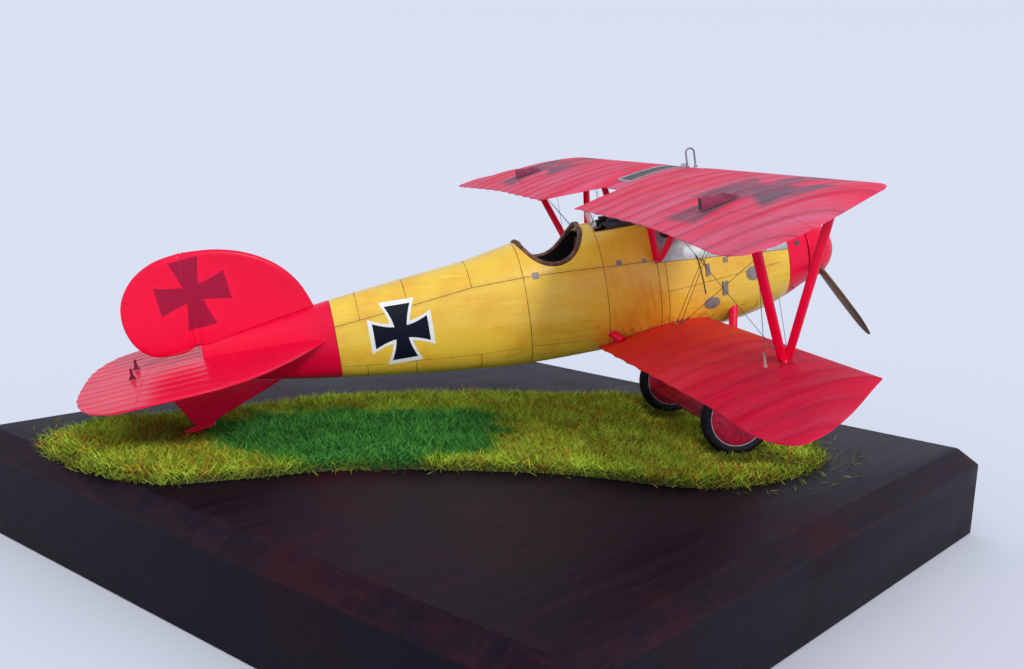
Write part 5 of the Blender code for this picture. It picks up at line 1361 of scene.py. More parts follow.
def build_body_crosses():
    """The plain cross pattée on each side of the body, black on a white border."""
    for name, paint, size, waist, flare, lift in (("cross_border", "marking_white", 6.3, 2.05, 3.55, 0.015),
                                                  ("cross_black", "marking_black", 5.45, 1.25, 2.55, 0.045)):
        shape = Shape()
        for side in (-1, 1):
            for low, high, spot in arm_points((96.7, -0.35), size, waist, flare):
                shape.patch(lambda s, t, z: on_body(side, *spot(s, t), lift + z), low, high, 0.035, (12, 6))
        piece(name, shape, paint, "varnished_ply")


def build_cowl():
    """Grey metal panels over the engine: a slot for the cylinders, gun troughs, louvres and fasteners."""
    first, last = CYLINDER_FIRST, CYLINDER_FIRST + CYLINDER_PITCH * (CYLINDER_COUNT - 1)
    half = CYLINDER_RADIUS + 0.6
    start, end = first - half - 0.3, last + half + 0.3
    item = solid("cowl_panels", body_shape(NOSE_BAND_END + 0.05, COWL_REAR, step=1.0, grooves=(22.4, 31.6)))
    combine(item, cowl_block(0.0), "INTERSECT")
    cutters = [Shape().box((-half, start, 8.2), (half, end, 30.0)),
               Shape().box((-6.6, start, 10.0), (-half + 0.1, first + 20.6, 30.0))]
    for side in (-1, 1):
        middle = side * (GUN_OFFSET + 0.35)
        profile = [(27.0, 0.95), (50.0, 0.95)]
        cutters.append(Shape().turned(profile, "Y", (middle, 0.0, 12.15), 24))
        cutters.append(Shape().box((middle - 0.95, 27.0, 12.1), (middle + 0.95, 50.0, 30.0)))
    carve(item, *cutters)
    done(item, "grey_metal", "grey_metal", stands_for=("upper_cowl",), angle=30.0)

    trim = Shape()
    for side in (-1, 1):
        for k in range(6):
            a = 24.0 + 1.15 * k
            louvre = [on_body(side, a + d, u, lift) for d, u, lift in
                      ((-0.35, 5.2, 0.0), (0.0, 5.0, 0.22), (0.35, 5.0, 0.3), (0.42, 5.0, 0.0))]
            other = [on_body(side, a + d, u, lift) for d, u, lift in
                     ((-0.35, 7.6, 0.0), (0.0, 7.8, 0.22), (0.35, 7.8, 0.3), (0.42, 7.8, 0.0))]
            trim.loft([louvre, other])
        for a in [15.0 + 2.3 * k for k in range(12)]:
            u = along(COWL_EDGE, a) + 0.55
            trim.ball(on_body(side, a, u, 0.03), 0.12, 8)
        for a in (22.9, 32.1, 42.2):
            for u in (6.0, 7.6, 9.0):
                trim.ball(on_body(side, a, u, 0.02), 0.10, 8)
    piece("cowl_trim", trim, "grey_metal", "grey_metal")


def build_engine():
    """Six upright cylinders with their jackets, plugs, intake stubs and overhead camshaft."""
    low, high = 8.3, 10.4
    half = CYLINDER_RADIUS + 0.35
    first, last = CYLINDER_FIRST, CYLINDER_FIRST + CYLINDER_PITCH * (CYLINDER_COUNT - 1)
    block = Shape()
    block.box((-half, first - half - 0.2, low), (half, last + half + 0.2, high), 0.15)
    top = 14.6
    for i in range(CYLINDER_COUNT):
        y = first + CYLINDER_PITCH * i
        r = CYLINDER_RADIUS
        profile = [(high - 0.3, r + 0.12), (high + 0.15, r + 0.12), (high + 0.2, r - 0.12), (high + 0.7, r - 0.12),
                   (high + 0.75, r), (top - 1.5, r), (top - 1.45, r - 0.08), (top - 1.3, r - 0.08),
                   (top - 1.25, r), (top - 0.7, r), (top - 0.45, 0.86 * r), (top - 0.4, 0.6 * r)]
        block.turned(profile, "Z", (0.0, y, 0.0), 28)
        for side in (-1, 1):
            block.tube([(side * (r - 0.2), y - 0.55, top - 1.1), (side * (r + 0.28), y - 0.55, top - 1.0)], 0.16, 8)
            block.ball((side * (r + 0.30), y - 0.55, top - 1.0), 0.14, 8)
            block.tube([(side * 0.35, y + 0.5, top - 0.5), (side * 0.85, y + 0.5, top + 0.15)], 0.13, 8)
        spring = [(0.95 * math.cos(t) * 0.25 + 0.85, y + 0.5 + 0.24 * math.sin(t), top - 0.75 + t * 0.028)
                  for t in (0.5 * k for k in range(44))]
        block.tube(spring, 0.05, 5)
    piece("cylinders", block, "engine_metal", "gun_metal", stands_for=("engine",), angle=40.0)

    cam = Shape()
    cam.tube([(0.0, first - 1.3, top - 0.1), (0.0, last + 1.3, top - 0.1)], 0.32, 16)
    for i in range(CYLINDER_COUNT):
        y = first + CYLINDER_PITCH * i
        cam.box((-0.42, y - 0.65, top - 0.55), (0.42, y + 0.65, top + 0.3), 0.12)
        cam.tube([(-0.45, y, top + 0.1), (0.45, y, top + 0.1)], 0.16, 8)
    cam.tube([(0.0, last + 1.1, high - 0.2), (0.0, last + 1.1, top)], 0.4, 14)
    piece("camshaft", cam, "gun_metal", "gun_metal")

    pipes = Shape()
    pipes.tube(spline([(1.55, first - 1.2, 13.2), (1.62, first + 4.0, 13.25), (1.62, last - 3.0, 13.25),
                       (1.6, last + 1.2, 13.2), (1.3, last + 1.9, 12.0)], 6), 0.17, 8)
    for i in range(CYLINDER_COUNT):
        y = first + CYLINDER_PITCH * i
        pipes.tube([(1.15, y + 0.9, 12.7), (1.5, y + 0.9, 12.6), (1.62, y + 0.9, 12.2), (1.62, y + 0.9, 10.6)], 0.13, 8)
    pipes.tube(spline([(1.62, first, 10.7), (1.75, last - 4.0, 10.7), (1.62, last, 10.7)], 6), 0.32, 12)
    piece("intake_pipes", pipes, "brass", "gun_metal")


def build_exhaust():
    """Collector on the starboard side, with a flanged stub at each cylinder and a mouth turned out aft."""
    last = CYLINDER_FIRST + CYLINDER_PITCH * (CYLINDER_COUNT - 1)
    route = spline([(-4.9, CYLINDER_FIRST - 1.0, 10.95), (-4.9, last - 4.0, 10.95), (-4.9, last - 1.2, 10.95),
                    (-5.5, last + 0.6, 10.9), (-6.8, last + 2.1, 10.6), (-8.4, last + 3.2, 10.1)], 8)
    count = len(route)
    radii = [0.72 if i < count - 12 else 0.72 + 0.035 * (i - count + 12) for i in range(count)]
    radii[0] = 0.45
    shape = Shape().tube(route, radii, 24)
    for i in range(CYLINDER_COUNT - 1):
        y = CYLINDER_FIRST + CYLINDER_PITCH * i
        shape.tube(spline([(-CYLINDER_RADIUS - 0.12, y, 11.6), (-2.4, y, 11.7), (-3.7, y + 0.25, 11.3),
                           (-4.7, y + 0.5, 10.95)], 4), 0.42, 14)
        shape.tube([(-CYLINDER_RADIUS - 0.12, y, 11.6), (-CYLINDER_RADIUS - 0.35, y, 11.62)], 0.62, 14)
    for y in (CYLINDER_FIRST + 5.2, CYLINDER_FIRST + 12.3):
        shape.tube([(-4.9, y, 10.95), (-4.9, y + 0.35, 10.95)], 0.84, 24)
    piece("exhaust_collector", shape, "burnt_steel", "burnt_steel", stands_for=("exhaust",), angle=40.0)
    mouth = Shape().tube([route[-1], route[-1] + (route[-1] - route[-2]).normalized() * 0.03], 0.78, 24)
    piece("exhaust_mouth", mouth, "panel_black", "burnt_steel")


def build_guns():
    """Two machine guns: a slotted cooling jacket round the barrel, receiver, feed chute, sight and grips."""
    for side, word in SIDES:
        x, centre = side * GUN_OFFSET, side * (GUN_OFFSET + 0.35)
        deck, axis = DECK_HEIGHT + SEAM, DECK_HEIGHT + 0.75
        shape = Shape()
        shape.box((x - 0.55, 43.9, deck), (x + 0.75, 51.3, DECK_HEIGHT + 1.5), 0.1)
        shape.box((x - 0.5, 44.4, DECK_HEIGHT + 1.45), (x + 0.62, 50.6, DECK_HEIGHT + 2.1), 0.14)
        shape.box((x - 0.75, 45.6, DECK_HEIGHT + 0.4), (x + 0.78, 48.0, DECK_HEIGHT + 1.25), 0.1)
        shape.box((x - 0.18, 50.4, DECK_HEIGHT + 1.9), (x + 0.18, 50.7, DECK_HEIGHT + 2.2), 0.04)
        shape.tube([(x + side * 0.75, 48.6, DECK_HEIGHT + 1.2), (x + side * 1.0, 48.9, DECK_HEIGHT + 1.5),
                    (x + side * 1.0, 49.8, DECK_HEIGHT + 1.7)], 0.1, 8)
        for dx in (-0.4, 0.4):
            shape.tube(spline([(x + dx, 51.2, DECK_HEIGHT + 1.3), (x + dx, 51.9, DECK_HEIGHT + 1.25),
                               (x + dx, 52.3, DECK_HEIGHT + 0.9), (x + dx, 52.35, DECK_HEIGHT + 0.5)], 4), 0.13, 8)
        shape.tube([(centre, 28.2, axis), (centre, 44.2, axis)], 0.30, 16)
        shape.turned([(28.2, 0.38), (28.25, 0.55), (28.9, 0.55), (29.0, 0.3)], "Y", (centre, 0.0, axis), 24)
        shape.turned([(43.2, 0.56), (44.1, 0.6), (44.2, 0.4)], "Y", (centre, 0.0, axis), 24)
        rows, columns = 15, 12
        for k in range(rows + 1):
            a = 29.2 + (43.2 - 29.2) * k / rows
            shape.loft([[(centre + r * math.cos(t), a + d, axis + r * math.sin(t))
                         for r, d in ((0.56, -0.17), (0.56, 0.17), (0.47, 0.17), (0.47, -0.17))]
                        for t in (math.tau * i / 36 for i in range(36))], closed=True)
        for i in range(columns):
            t = math.tau * i / columns
            c, s = math.cos(t), math.sin(t)
            ring = [(0.555 * c - 0.07 * s, 0.555 * s + 0.07 * c), (0.555 * c + 0.07 * s, 0.555 * s - 0.07 * c),
                    (0.475 * c + 0.06 * s, 0.475 * s - 0.06 * c), (0.475 * c - 0.06 * s, 0.475 * s + 0.06 * c)]
            shape.loft([[(centre + p, a, axis + q) for p, q in ring] for a in (28.9, 43.3)])
        piece("machine_gun_" + word, shape, "gun_metal", "gun_metal", stands_for=("gun_" + word,), angle=40.0)
    chutes = Shape()
    for side in (-1, 1):
        x = side * GUN_OFFSET
        arch = spline([(x - side * 0.7, 0.0, DECK_HEIGHT + 1.0), (x - side * 1.2, 0.0, DECK_HEIGHT + 1.5),
                       (x - side * 1.8, 0.0, DECK_HEIGHT + 1.2), (x - side * 2.0, 0.0, DECK_HEIGHT + 0.1)], 4)
        chutes.loft([[(p.x, a, p.z) for a in (46.0, 47.6)] + [(p.x + 0.12 * side, a, p.z + 0.14) for a in (47.6, 46.0)]
                     for p in arch])
    piece("feed_chutes", chutes, "grey_metal", "gun_metal")


def coaming_line():
    """The line of the cockpit's edge from the rear middle, down the port side and up to the front middle."""
    rim = [p for p in scoop_outline() if p.y < 14.1]
    sides = [(body_side(p.x, p.y), p.x, p.y) for p in rim if p.y < body_size(p.x)[0] - 0.25]
    lift = 0.65
    route = []
    for x, a, u in sides:
        inward = Vector((62.8 - a, 16.5 - u)).normalized() * lift
        route.append(Vector((x - 0.55, a + inward.x * 0.55, u + inward.y * 0.55)))
    rear, front = sides[0][1], sides[-1][1]
    across_rear = [Vector((route[0].x * f, rear - lift + 0.55 * (1 - f), body_size(rear)[0] + 0.1 - 0.55 * f * f))
                   for f in (0.0, 0.38, 0.72)]
    across_front = [Vector((route[-1].x * f, front + lift - 0.55 * (1 - f), body_size(front)[0] + 0.3 - 0.55 * f * f))
                    for f in (0.72, 0.38, 0.0)]
    return across_rear + route[::2] + across_front


def build_coaming():
    """Padded leather rolled round the cockpit's edge, laced to the ply."""
    half = coaming_line()
    loop = half + [Vector((-p.x, p.y, p.z)) for p in reversed(half[1:-1])]
    smooth = spline(loop, 5, closed=True)
    count = len(smooth)
    radii = [0.50 + 0.012 * math.sin(math.tau * i * 0.18) for i in range(count)]
    shape = Shape().tube(smooth, radii, 16, closed=True)
    piece("coaming_pad", shape, "leather", "leather", stands_for=("cockpit_coaming",))
    lacing = Shape()
    for i in range(2, count, 4):
        p, ahead = smooth[i], (smooth[(i + 1) % count] - smooth[i]).normalized()
        out = Vector((p.x, 0.0, p.z - 2.0)).normalized()
        out = (out - ahead * out.dot(ahead)).normalized()
        other = ahead.cross(out)
        lacing.tube([p + out * (0.51 * math.cos(t)) + other * (0.51 * math.sin(t)) + ahead * (0.1 * math.sin(t))
                     for t in (math.radians(-80 + 20 * k) for k in range(9))], 0.03, 5)
    piece("coaming_lacing", lacing, "leather", "leather")


def build_cockpit():
    floor_u = -8.6
    seat = Shape()
    pan = []
    for a, u, half in ((64.2, 3.3, 3.3), (64.6, 4.25, 3.5), (66.0, 4.35, 3.6), (68.5, 4.3, 3.6), (70.0, 4.4, 3.5)):
        pan.append([(x, a, floor_u + u - 0.2 * (1 - (x / half) ** 4) + dz) for x, dz in
                    [(half * s, 0.0) for s in (-1, -0.8, -0.4, 0, 0.4, 0.8, 1)]
                    + [(half * s, -0.6) for s in (1, 0.4, -0.4, -1)]])
    seat.loft(pan)
    back = []
    for k in range(9):
        f = k / 8
        a, u = 69.4 + 2.0 * f, floor_u + 3.6 + 9.0 * f
        half = 3.4 * math.sqrt(max(0.05, 1.0 - max(0.0, (f - 0.55) / 0.5) ** 2.4))
        back.append([(half * s, a - 0.9 * (1 - s * s) ** 0.5 * 0.3 + d, u) for s, d in
                     ((-1, -0.5), (-0.85, 0.1), (-0.4, 0.35), (0.4, 0.35), (0.85, 0.1), (1, -0.5), (1, 0.1), (0.85, 0.7),
                      (0, 0.95), (-0.85, 0.7), (-1, 0.1))])
    seat.loft(back)
    seat.box((-1.4, 66.0, floor_u + 0.6), (1.4, 68.2, floor_u + 3.8), 0.2)
    piece("pilot_seat", seat, "leather", "leather", stands_for=("seat",), angle=50.0)

    belts = Shape()
    for side in (-1, 1):
        lap = spline([(side * 3.5, 69.0, floor_u + 4.0), (side * 2.9, 67.6, floor_u + 4.75),
                      (side * 1.4, 66.6, floor_u + 4.85), (side * 0.3, 66.3, floor_u + 4.9)], 5)
        shoulder = spline([(side * 1.5, 71.6, floor_u + 12.4), (side * 1.5, 70.5, floor_u + 11.6),
                           (side * 1.55, 69.7, floor_u + 8.0), (side * 1.3, 68.8, floor_u + 5.6),
                           (side * 1.0, 67.6, floor_u + 4.9)], 5)
        for route, wide in ((lap, Vector((0.0, 0.45, 0.0))), (shoulder, Vector((0.42, 0.0, 0.0)))):
            belts.loft([[tuple(p - wide), tuple(p + wide), tuple(p + wide + Vector((0, -0.06, 0.08))),
                         tuple(p - wide + Vector((0, -0.06, 0.08)))] for p in route])
    piece("seat_belts", belts, "belt_cloth", "leather")
    buckles = Shape()
    for x, a, u in ((0.0, 66.3, 5.0), (-1.55, 69.75, 8.4), (1.55, 69.75, 8.4)):
        buckles.box((x - 0.5, a - 0.35, floor_u + u), (x + 0.5, a + 0.35, floor_u + u + 0.16), 0.05)
    piece("buckles", buckles, "brass", "leather")

    item = solid("floor_boards", body_shape(CAVITY_FRONT + 0.3, CAVITY_REAR - 0.3, -BODY_WALL - SEAM, 2.0, count=72))
    combine(item, Shape().box((-20.0, 40.0, -30.0), (20.0, 80.0, floor_u + 0.4)), "INTERSECT")
    boards = [Shape().box((x - 0.08, 40.0, floor_u + 0.25), (x + 0.08, 80.0, floor_u + 2.0))
              for x in (-6.0, -4.0, -2.0, 0.0, 2.0, 4.0, 6.0)]
    carve(item, *boards)
    done(item, "floor_wood", "floor_wood", stands_for=("cockpit_floor",))

    panel = solid("dashboard", body_shape(55.0, 55.9, -BODY_WALL - SEAM, 0.45, count=72))
    carve(panel, Shape().box((-20.0, 50.0, -30.0), (20.0, 60.0, 3.2)),
          Shape().box((-20.0, 50.0, DECK_HEIGHT - BODY_WALL - 0.4), (20.0, 60.0, 30.0)))
    done(panel, "interior_wood", "panel_black", stands_for=("instrument_panel",))
    rims, faces, hands = Shape(), Shape(), Shape()
    for x, u, r in ((-3.3, 7.6, 1.15), (0.2, 8.6, 1.0), (3.2, 7.4, 1.25), (-0.6, 5.6, 0.75), (5.6, 6.0, 0.6), (-5.5, 6.2, 0.6)):
        rims.turned([(55.8, r), (56.15, r), (56.22, r - 0.05), (56.2, r - 0.16), (56.0, r - 0.18), (55.8, r - 0.18)],
                    "Y", (x, 0.0, u), 28, closed=True)
        faces.turned([(55.8, r - 0.17), (56.02, r - 0.17)], "Y", (x, 0.0, u), 28)
        for k in range(10):
            t = math.tau * k / 10
            c, s = math.cos(t), math.sin(t)
            hands.tube([(x + c * (r - 0.24), 56.03, u + s * (r - 0.24)), (x + c * (r - 0.38), 56.03, u + s * (r - 0.38))],
                       0.025, 4)
        hands.tube([(x, 56.05, u), (x + 0.5 * r, 56.05, u + 0.45 * r)], 0.03, 5)
    piece("dial_rims", rims, "brass", "panel_black")
    piece("dial_faces", faces, "dial_white", "panel_black")
    piece("dial_marks", hands, "panel_black", "panel_black")

    stick = Shape().tube(spline([(0.0, 60.2, floor_u + 0.5), (0.0, 60.8, -2.0), (0.0, 61.4, 1.6)], 6), 0.3, 12)
    stick.tube(spline([(-1.4, 61.4, 3.1), (-1.35, 61.4, 2.3), (-0.6, 61.4, 1.75), (0.6, 61.4, 1.75), (1.35, 61.4, 2.3),
                       (1.4, 61.4, 3.1)], 5), 0.3, 12)
    stick.turned([(floor_u + 0.4, 0.9), (floor_u + 0.9, 0.8), (floor_u + 1.5, 0.35)], "Z", (0.0, 60.2, 0.0), 16)
    stick.box((-3.2, 52.4, floor_u + 0.9), (3.2, 53.0, floor_u + 1.4), 0.1)
    stick.turned([(floor_u + 0.3, 0.6), (floor_u + 1.5, 0.5)], "Z", (0.0, 52.7, 0.0), 16)
    piece("stick_and_rudder_bar", stick, "gun_metal", "gun_metal", stands_for=("control_column",))

    # painted shade: a near-black sheet covers the cockpit's inner walls in place of the ply's own colour
    shade_sheet = solid("cockpit_lining", body_shape(CAVITY_FRONT + 0.1, CAVITY_REAR - 0.1, -BODY_WALL - 0.02, 2.5, count=72))
    carve(shade_sheet, body_shape(CAVITY_FRONT + 0.25, CAVITY_REAR - 0.25, -BODY_WALL - 0.14, 2.5, count=72),
          prism(scoop_outline(0.35), -20.0, 20.0),
          Shape().box((-20.0, COWL_REAR - 5.0, DECK_HEIGHT - 0.2), (20.0, DECK_REAR + 0.2, 30.0)))
    done(shade_sheet, "shade_dark", "varnished_ply")

    frames = Shape()
    for a in (47.5, 58.5, 73.5):
        top = body_size(a)[0] - 1.6
        for side in (-1, 1):
            rib = [(side * (body_side(a, u) - BODY_WALL - 0.28), a, u)
                   for u in [-7.0 + (min(top, 5.5 if a == 58.5 else top) + 7.0) * k / 10 for k in range(11)]]
            frames.tube(rib, 0.28, 8)
    for side in (-1, 1):
        for u in (-3.5, 2.6):
            frames.tube([(side * (body_side(a, u) - BODY_WALL - 0.45), a, u) for a in spaced(45.5, 76.0, 4.0)], 0.2, 8)
    piece("body_frames", frames, "interior_wood", "floor_wood")
    cables = Shape()
    for side in (-1, 1):
        for k in range(3):
            cables.tube(spline([(side * (6.4 - 0.5 * k), 56.2, 4.2 + 0.5 * k), (side * (6.9 - 0.3 * k), 60.0, 3.6 + 0.7 * k),
                                (side * (6.9 - 0.4 * k), 66.0, 2.9 + 0.6 * k), (side * (6.4 - 0.4 * k), 75.0, 2.4 + 0.4 * k)],
                               6), 0.13, 8)
        cables.tube([(side * 4.6, 57.0, 3.4), (side * 4.6, 62.0, 3.4)], 0.45, 14)
    piece("cockpit_pipes", cables, "pipe_metal", "gun_metal")


def build_windscreen():
    """A flat clear sheet in a thin metal edge."""
    low, high = (53.1, DECK_HEIGHT + SEAM), (53.9, 16.9)
    outline = [(-2.0, 0.0), (2.0, 0.0), (2.0, 0.72), (1.75, 0.93), (1.2, 1.0), (-1.2, 1.0), (-1.75, 0.93), (-2.0, 0.72)]
    rings = []
    for shift in (-0.16, 0.16):
        rings.append([(x, low[0] + (high[0] - low[0]) * t + shift, low[1] + (high[1] - low[1]) * t) for x, t in outline])
    piece("screen", Shape().loft(rings), "clear_sheet", "clear_sheet", stands_for=("windscreen",))
    rim = [(x, low[0] + (high[0] - low[0]) * t, low[1] + 0.1 + (high[1] - low[1] - 0.25) * t) for x, t in outline]
    edge = Shape().tube(rim, 0.13, 8, closed=True)
    edge.tube([(0.0, 53.1, DECK_HEIGHT + 0.15), (0.0, 51.6, DECK_HEIGHT + 0.15)], 0.12, 8)
    piece("screen_rim", edge, "pipe_metal", "clear_sheet")


def build_tail_cone():
    item = solid("rear_cone", body_shape(TAIL_BAND_START + 0.05, STERN_POST, step=0.8, grooves=(118.6, 126.9)))
    done(item, "tail_red", "red_paint", stands_for=("tail_cone",))


# Wings and struts

def hinge_station(x):
    (x0, y0), (x1, y1) = AILERON_HINGE
    return y0 + (y1 - y0) * (x - x0) / (x1 - x0)


def aileron_block(side, grow):
    """The space behind the aileron's hinge and outboard of its root."""
    root, tip = AILERON_ROOT - grow, UPPER_HALF_SPAN + 10.0
    plan = [(root, hinge_station(root) - grow), (tip, hinge_station(tip) - grow), (tip, 90.0), (root, 90.0)]
    return Shape().loft([[(side * x, y, z) for x, y in plan] for z in (0.0, 40.0)])


def radiator_bed(grow):
    front, rear = RADIATOR_ENDS
    middle = 0.5 * (RADIATOR_SIDES[0] + RADIATOR_SIDES[1])
    outline = []
    for a in (front - grow, front + 3.0, 0.5 * (front + rear), rear + grow):
        outline.append((a, surface(UPPER, middle, a)[2] - RADIATOR_DEPTH - grow))
    outline += [(rear + grow, 40.0), (front - grow, 40.0)]
    return prism(outline, RADIATOR_SIDES[0] - grow, RADIATOR_SIDES[1] + grow)


def build_upper_wing():
    """Covered wing: fabric let in between the ribs, raised rib tapes, wire trailing edge."""
    whole = wing_shape(UPPER, -94.0, 94.0)
    item = solid("top_plane", whole)
    carve(item, aileron_block(-1, SEAM), aileron_block(1, SEAM), radiator_bed(SEAM))
    done(item, "upper_wing_red", "wing_red", stands_for=("upper_wing",), angle=40.0)
    for side, word in SIDES:
        half = solid("aileron_skin_" + word, wing_shape(UPPER, *sorted((side * 44.0, side * 94.0))))
        combine(half, aileron_block(side, 0.0), "INTERSECT")
        done(half, "upper_wing_red", "wing_red", stands_for=("aileron_" + word,), angle=40.0)


def build_radiator():
    """Grille of fine upright fins in a frame let into the wing, with its filler and header tank."""
    item = solid("radiator_core", wing_shape(UPPER, -12.0, 12.0, lift=-0.12, fabric=False))
    combine(item, radiator_bed(0.0), "INTERSECT")
    done(item, "radiator_grey", "radiator_grey", stands_for=("radiator_panel",))
    (x0, x1), (a0, a1) = RADIATOR_SIDES, RADIATOR_ENDS
    fins = Shape()
    for k in range(33):
        x = x0 + 0.5 + (x1 - x0 - 1.0) * k / 32
        fins.patch(lambda s, t, z, x=x: (x + s, t, surface(UPPER, x, t, z - 0.15)[2]), (-0.045, a0 + 0.5),
                   (0.045, a1 - 0.5), 0.18, (1, 12))
    for k in range(7):
        a = a0 + 0.7 + (a1 - a0 - 1.4) * k / 6
        fins.patch(lambda s, t, z, a=a: (s, a + t, surface(UPPER, s, a + t, z - 0.12)[2]), (x0 + 0.4, -0.09),
                   (x1 - 0.4, 0.09), 0.17, (8, 1))
    piece("radiator_fins", fins, "radiator_grey", "radiator_grey")
    edge = Shape()
    for low, high in (((x0, a0), (x0 + 0.5, a1)), ((x1 - 0.5, a0), (x1, a1)), ((x0 + 0.45, a0), (x1 - 0.45, a0 + 0.5)),
                      ((x0 + 0.45, a1 - 0.5), (x1 - 0.45, a1))):
        edge.patch(lambda s, t, z: (s, t, surface(UPPER, s, t, z - 0.12)[2]), low, high, 0.22, (4, 12))
    for x in spaced(x0 + 0.25, x1 - 0.25, 1.2):
        for a in (a0 + 0.25, a1 - 0.25):
            edge.ball((x, a, surface(UPPER, x, a, 0.1)[2]), 0.09, 6)
    edge.turned([(0.0, 0.75), (0.5, 0.75), (0.6, 0.6), (0.95, 0.55), (1.0, 0.1)], "Z",
                (-1.1, 31.9, surface(UPPER, 1.1, 31.9)[2] - 0.1), 20)
    piece("radiator_frame", edge, "grey_metal", "radiator_grey")


def build_wing_pipe():
    front, rear = WING_PIPE_LEGS
    feet = [surface(UPPER, WING_PIPE_X, y)[2] + 0.2 for y in (front, rear)]
    top, radius = feet[0] + WING_PIPE_HEIGHT, 0.5 * (rear - front)
    route = [(WING_PIPE_X, front, feet[0])]
    route += [(WING_PIPE_X, front + radius * (1.0 - math.cos(t)), top - radius * (1.0 - math.sin(t)))
              for t in (math.pi * i / 12 for i in range(13))]
    route.append((WING_PIPE_X, rear, feet[1]))
    shape = Shape().tube(route, 0.2, 12)
    for y, foot in zip((front, rear), feet):
        shape.turned([(foot - 0.05, 0.45), (foot + 0.12, 0.45), (foot + 0.3, 0.3), (foot + 0.5, 0.22)], "Z",
                     (WING_PIPE_X, y, 0.0), 14)
    piece("vent_pipe", shape, "pipe_metal", "pipe_metal", stands_for=("wing_pipe",))


def build_cranks():
    """The faired crank over each aileron's hinge, with a thin near-black plate over its rear face as painted shade."""
    for side, word in SIDES:
        x = side * CRANK_X
        front, rear = CRANK_ENDS
        top, front_top = surface(UPPER, x, rear)[2], surface(UPPER, x, front)[2]
        outline = spline([(front, front_top + 0.12), (front + 2.2, front_top + 1.0), (rear - 2.6, top + CRANK_HEIGHT - 0.15),
                          (rear - 1.4, top + CRANK_HEIGHT), (rear, top + CRANK_HEIGHT - 0.1)], 4)
        rings = []
        for offset, drop in ((-0.6, 0.35), (-0.52, 0.12), (-0.3, 0.0), (0.3, 0.0), (0.52, 0.12), (0.6, 0.35)):
            upper = [(x + offset, p.x, max(p.y - drop, surface(UPPER, x, p.x, 0.11)[2])) for p in outline]
            lower = [(x + offset, a, surface(UPPER, x, a, 0.08)[2]) for a in spaced(rear, front, 1.0)]
            rings.append(upper + lower)
        shape = Shape().loft(rings)
        # darker red than the wing, as painted shade on the fairing's sides
        piece("crank_fairing_" + word, shape, "crank_shaded_red", "dark_red", stands_for=("aileron_crank_" + word,))
        # painted shade: a thin near-black plate over the fairing's rear face
        rear_shade = Shape()
        rear_shade.box((x - 0.5, rear - 0.02, top + 0.25), (x + 0.5, rear + 0.04, top + CRANK_HEIGHT - 0.25))
        piece("aileron_pins_" + word, rear_shade, "shade_dark", "dark_red")


def build_lower_wings():
    for side, word in SIDES:
        item = solid("lower_plane_" + word, wing_shape(LOWER, *sorted((side * 3.0, side * 90.6))))
        carve(item, body_shape(20.0, 70.0, SEAM, 2.0, count=72))
        done(item, "lower_wing_red", "wing_red", stands_for=("lower_wing_" + word,), angle=40.0)


def strut_end(shape, end, other, chord, thick, length=1.1):
    """A metal socket round the end of a strut, with its cross bolt."""
    end, other = Vector(end), Vector(other)
    way = (other - end).normalized()
    shape.strut(end, end + way * length, chord + 0.18, thick + 0.18, 16)
    across = Vector((1.0, 0.0, 0.0))
    middle = end + way * (0.55 * length)
    shape.tube([middle - across * (0.5 * thick + 0.3), middle + across * (0.5 * thick + 0.3)], 0.14, 8)


def build_interplane_struts():
    for side, word in SIDES:
        foot = surface(LOWER, V_FOOT_X, LOWER_LEAD[0] + V_FOOT_BEHIND, SEAM)
        shape, metal = Shape(), Shape()
        for behind, spread in zip(V_TOPS_BEHIND, (-0.5, 0.5)):
            top = surface(UPPER, V_TOP_X, UPPER_LEAD[0] + behind, SEAM, under=True)
            start = Vector((side * foot[0], foot[1] + spread, foot[2] + 0.05))
            end = Vector((side * top[0], top[1], top[2] - 0.05))
            shape.strut(start, end, STRUT_CHORD, STRUT_THICKNESS, 24, 0.12)
            strut_end(metal, end, start, STRUT_CHORD * 0.9, STRUT_THICKNESS * 0.9, 0.7)
            metal.ball(end + Vector((side * 0.3, 0.0, -0.35)), 0.26, 8)
        low = Vector(surface(LOWER, side * (V_FOOT_X + 1.9), foot[1] + 0.8, 0.0))
        boot = [(low, 0.25, 0.22), (low + Vector((-0.5 * side, -0.2, 0.5)), 0.60, 0.50),
                (Vector((side * foot[0], foot[1] + 0.35, foot[2] + 0.9)), 1.05, 0.62),
                (Vector((side * foot[0], foot[1], foot[2] + 2.2)), 1.35, 0.55)]
        shape.loft([[(c.x + q * math.sin(t), c.y + p * math.cos(t), c.z) for t in (math.tau * k / 20 for k in range(20))]
                    for c, p, q in boot])
        piece("v_legs_" + word, shape, "red_paint", "red_paint", stands_for=("v_strut_" + word,))
        piece("v_fittings_" + word, metal, "dark_red", "red_paint")


def build_cabane_struts():
    fx, fa, fu = CABANE_FOOT
    for side, word in SIDES:
        shape, metal = Shape(), Shape()
        for top_a, spread in zip(CABANE_TOPS, (-0.45, 0.45)):
            top = surface(UPPER, CABANE_TOP_X, top_a, SEAM, under=True)
            start = Vector((side * (fx + 0.75), fa + spread, fu + 0.1))
            end = Vector((side * top[0], top[1], top[2]))
            shape.strut(start, end, 1.5, 0.9, 24, 0.1)
            strut_end(metal, end, start, 1.35, 0.8, 0.7)
        shape.tube([(side * (fx + 0.15), fa, fu + 0.2), (side * (fx + 1.0), fa, fu + 0.2)], 0.8, 20)
        metal.ball((side * (fx + 1.0), fa, fu + 0.2), 0.25, 10)
        piece("cabane_legs_" + word, shape, "red_paint", "red_paint", stands_for=("cabane_strut_" + word,))
        piece("cabane_fittings_" + word, metal, "dark_red", "red_paint")


# Undercarriage

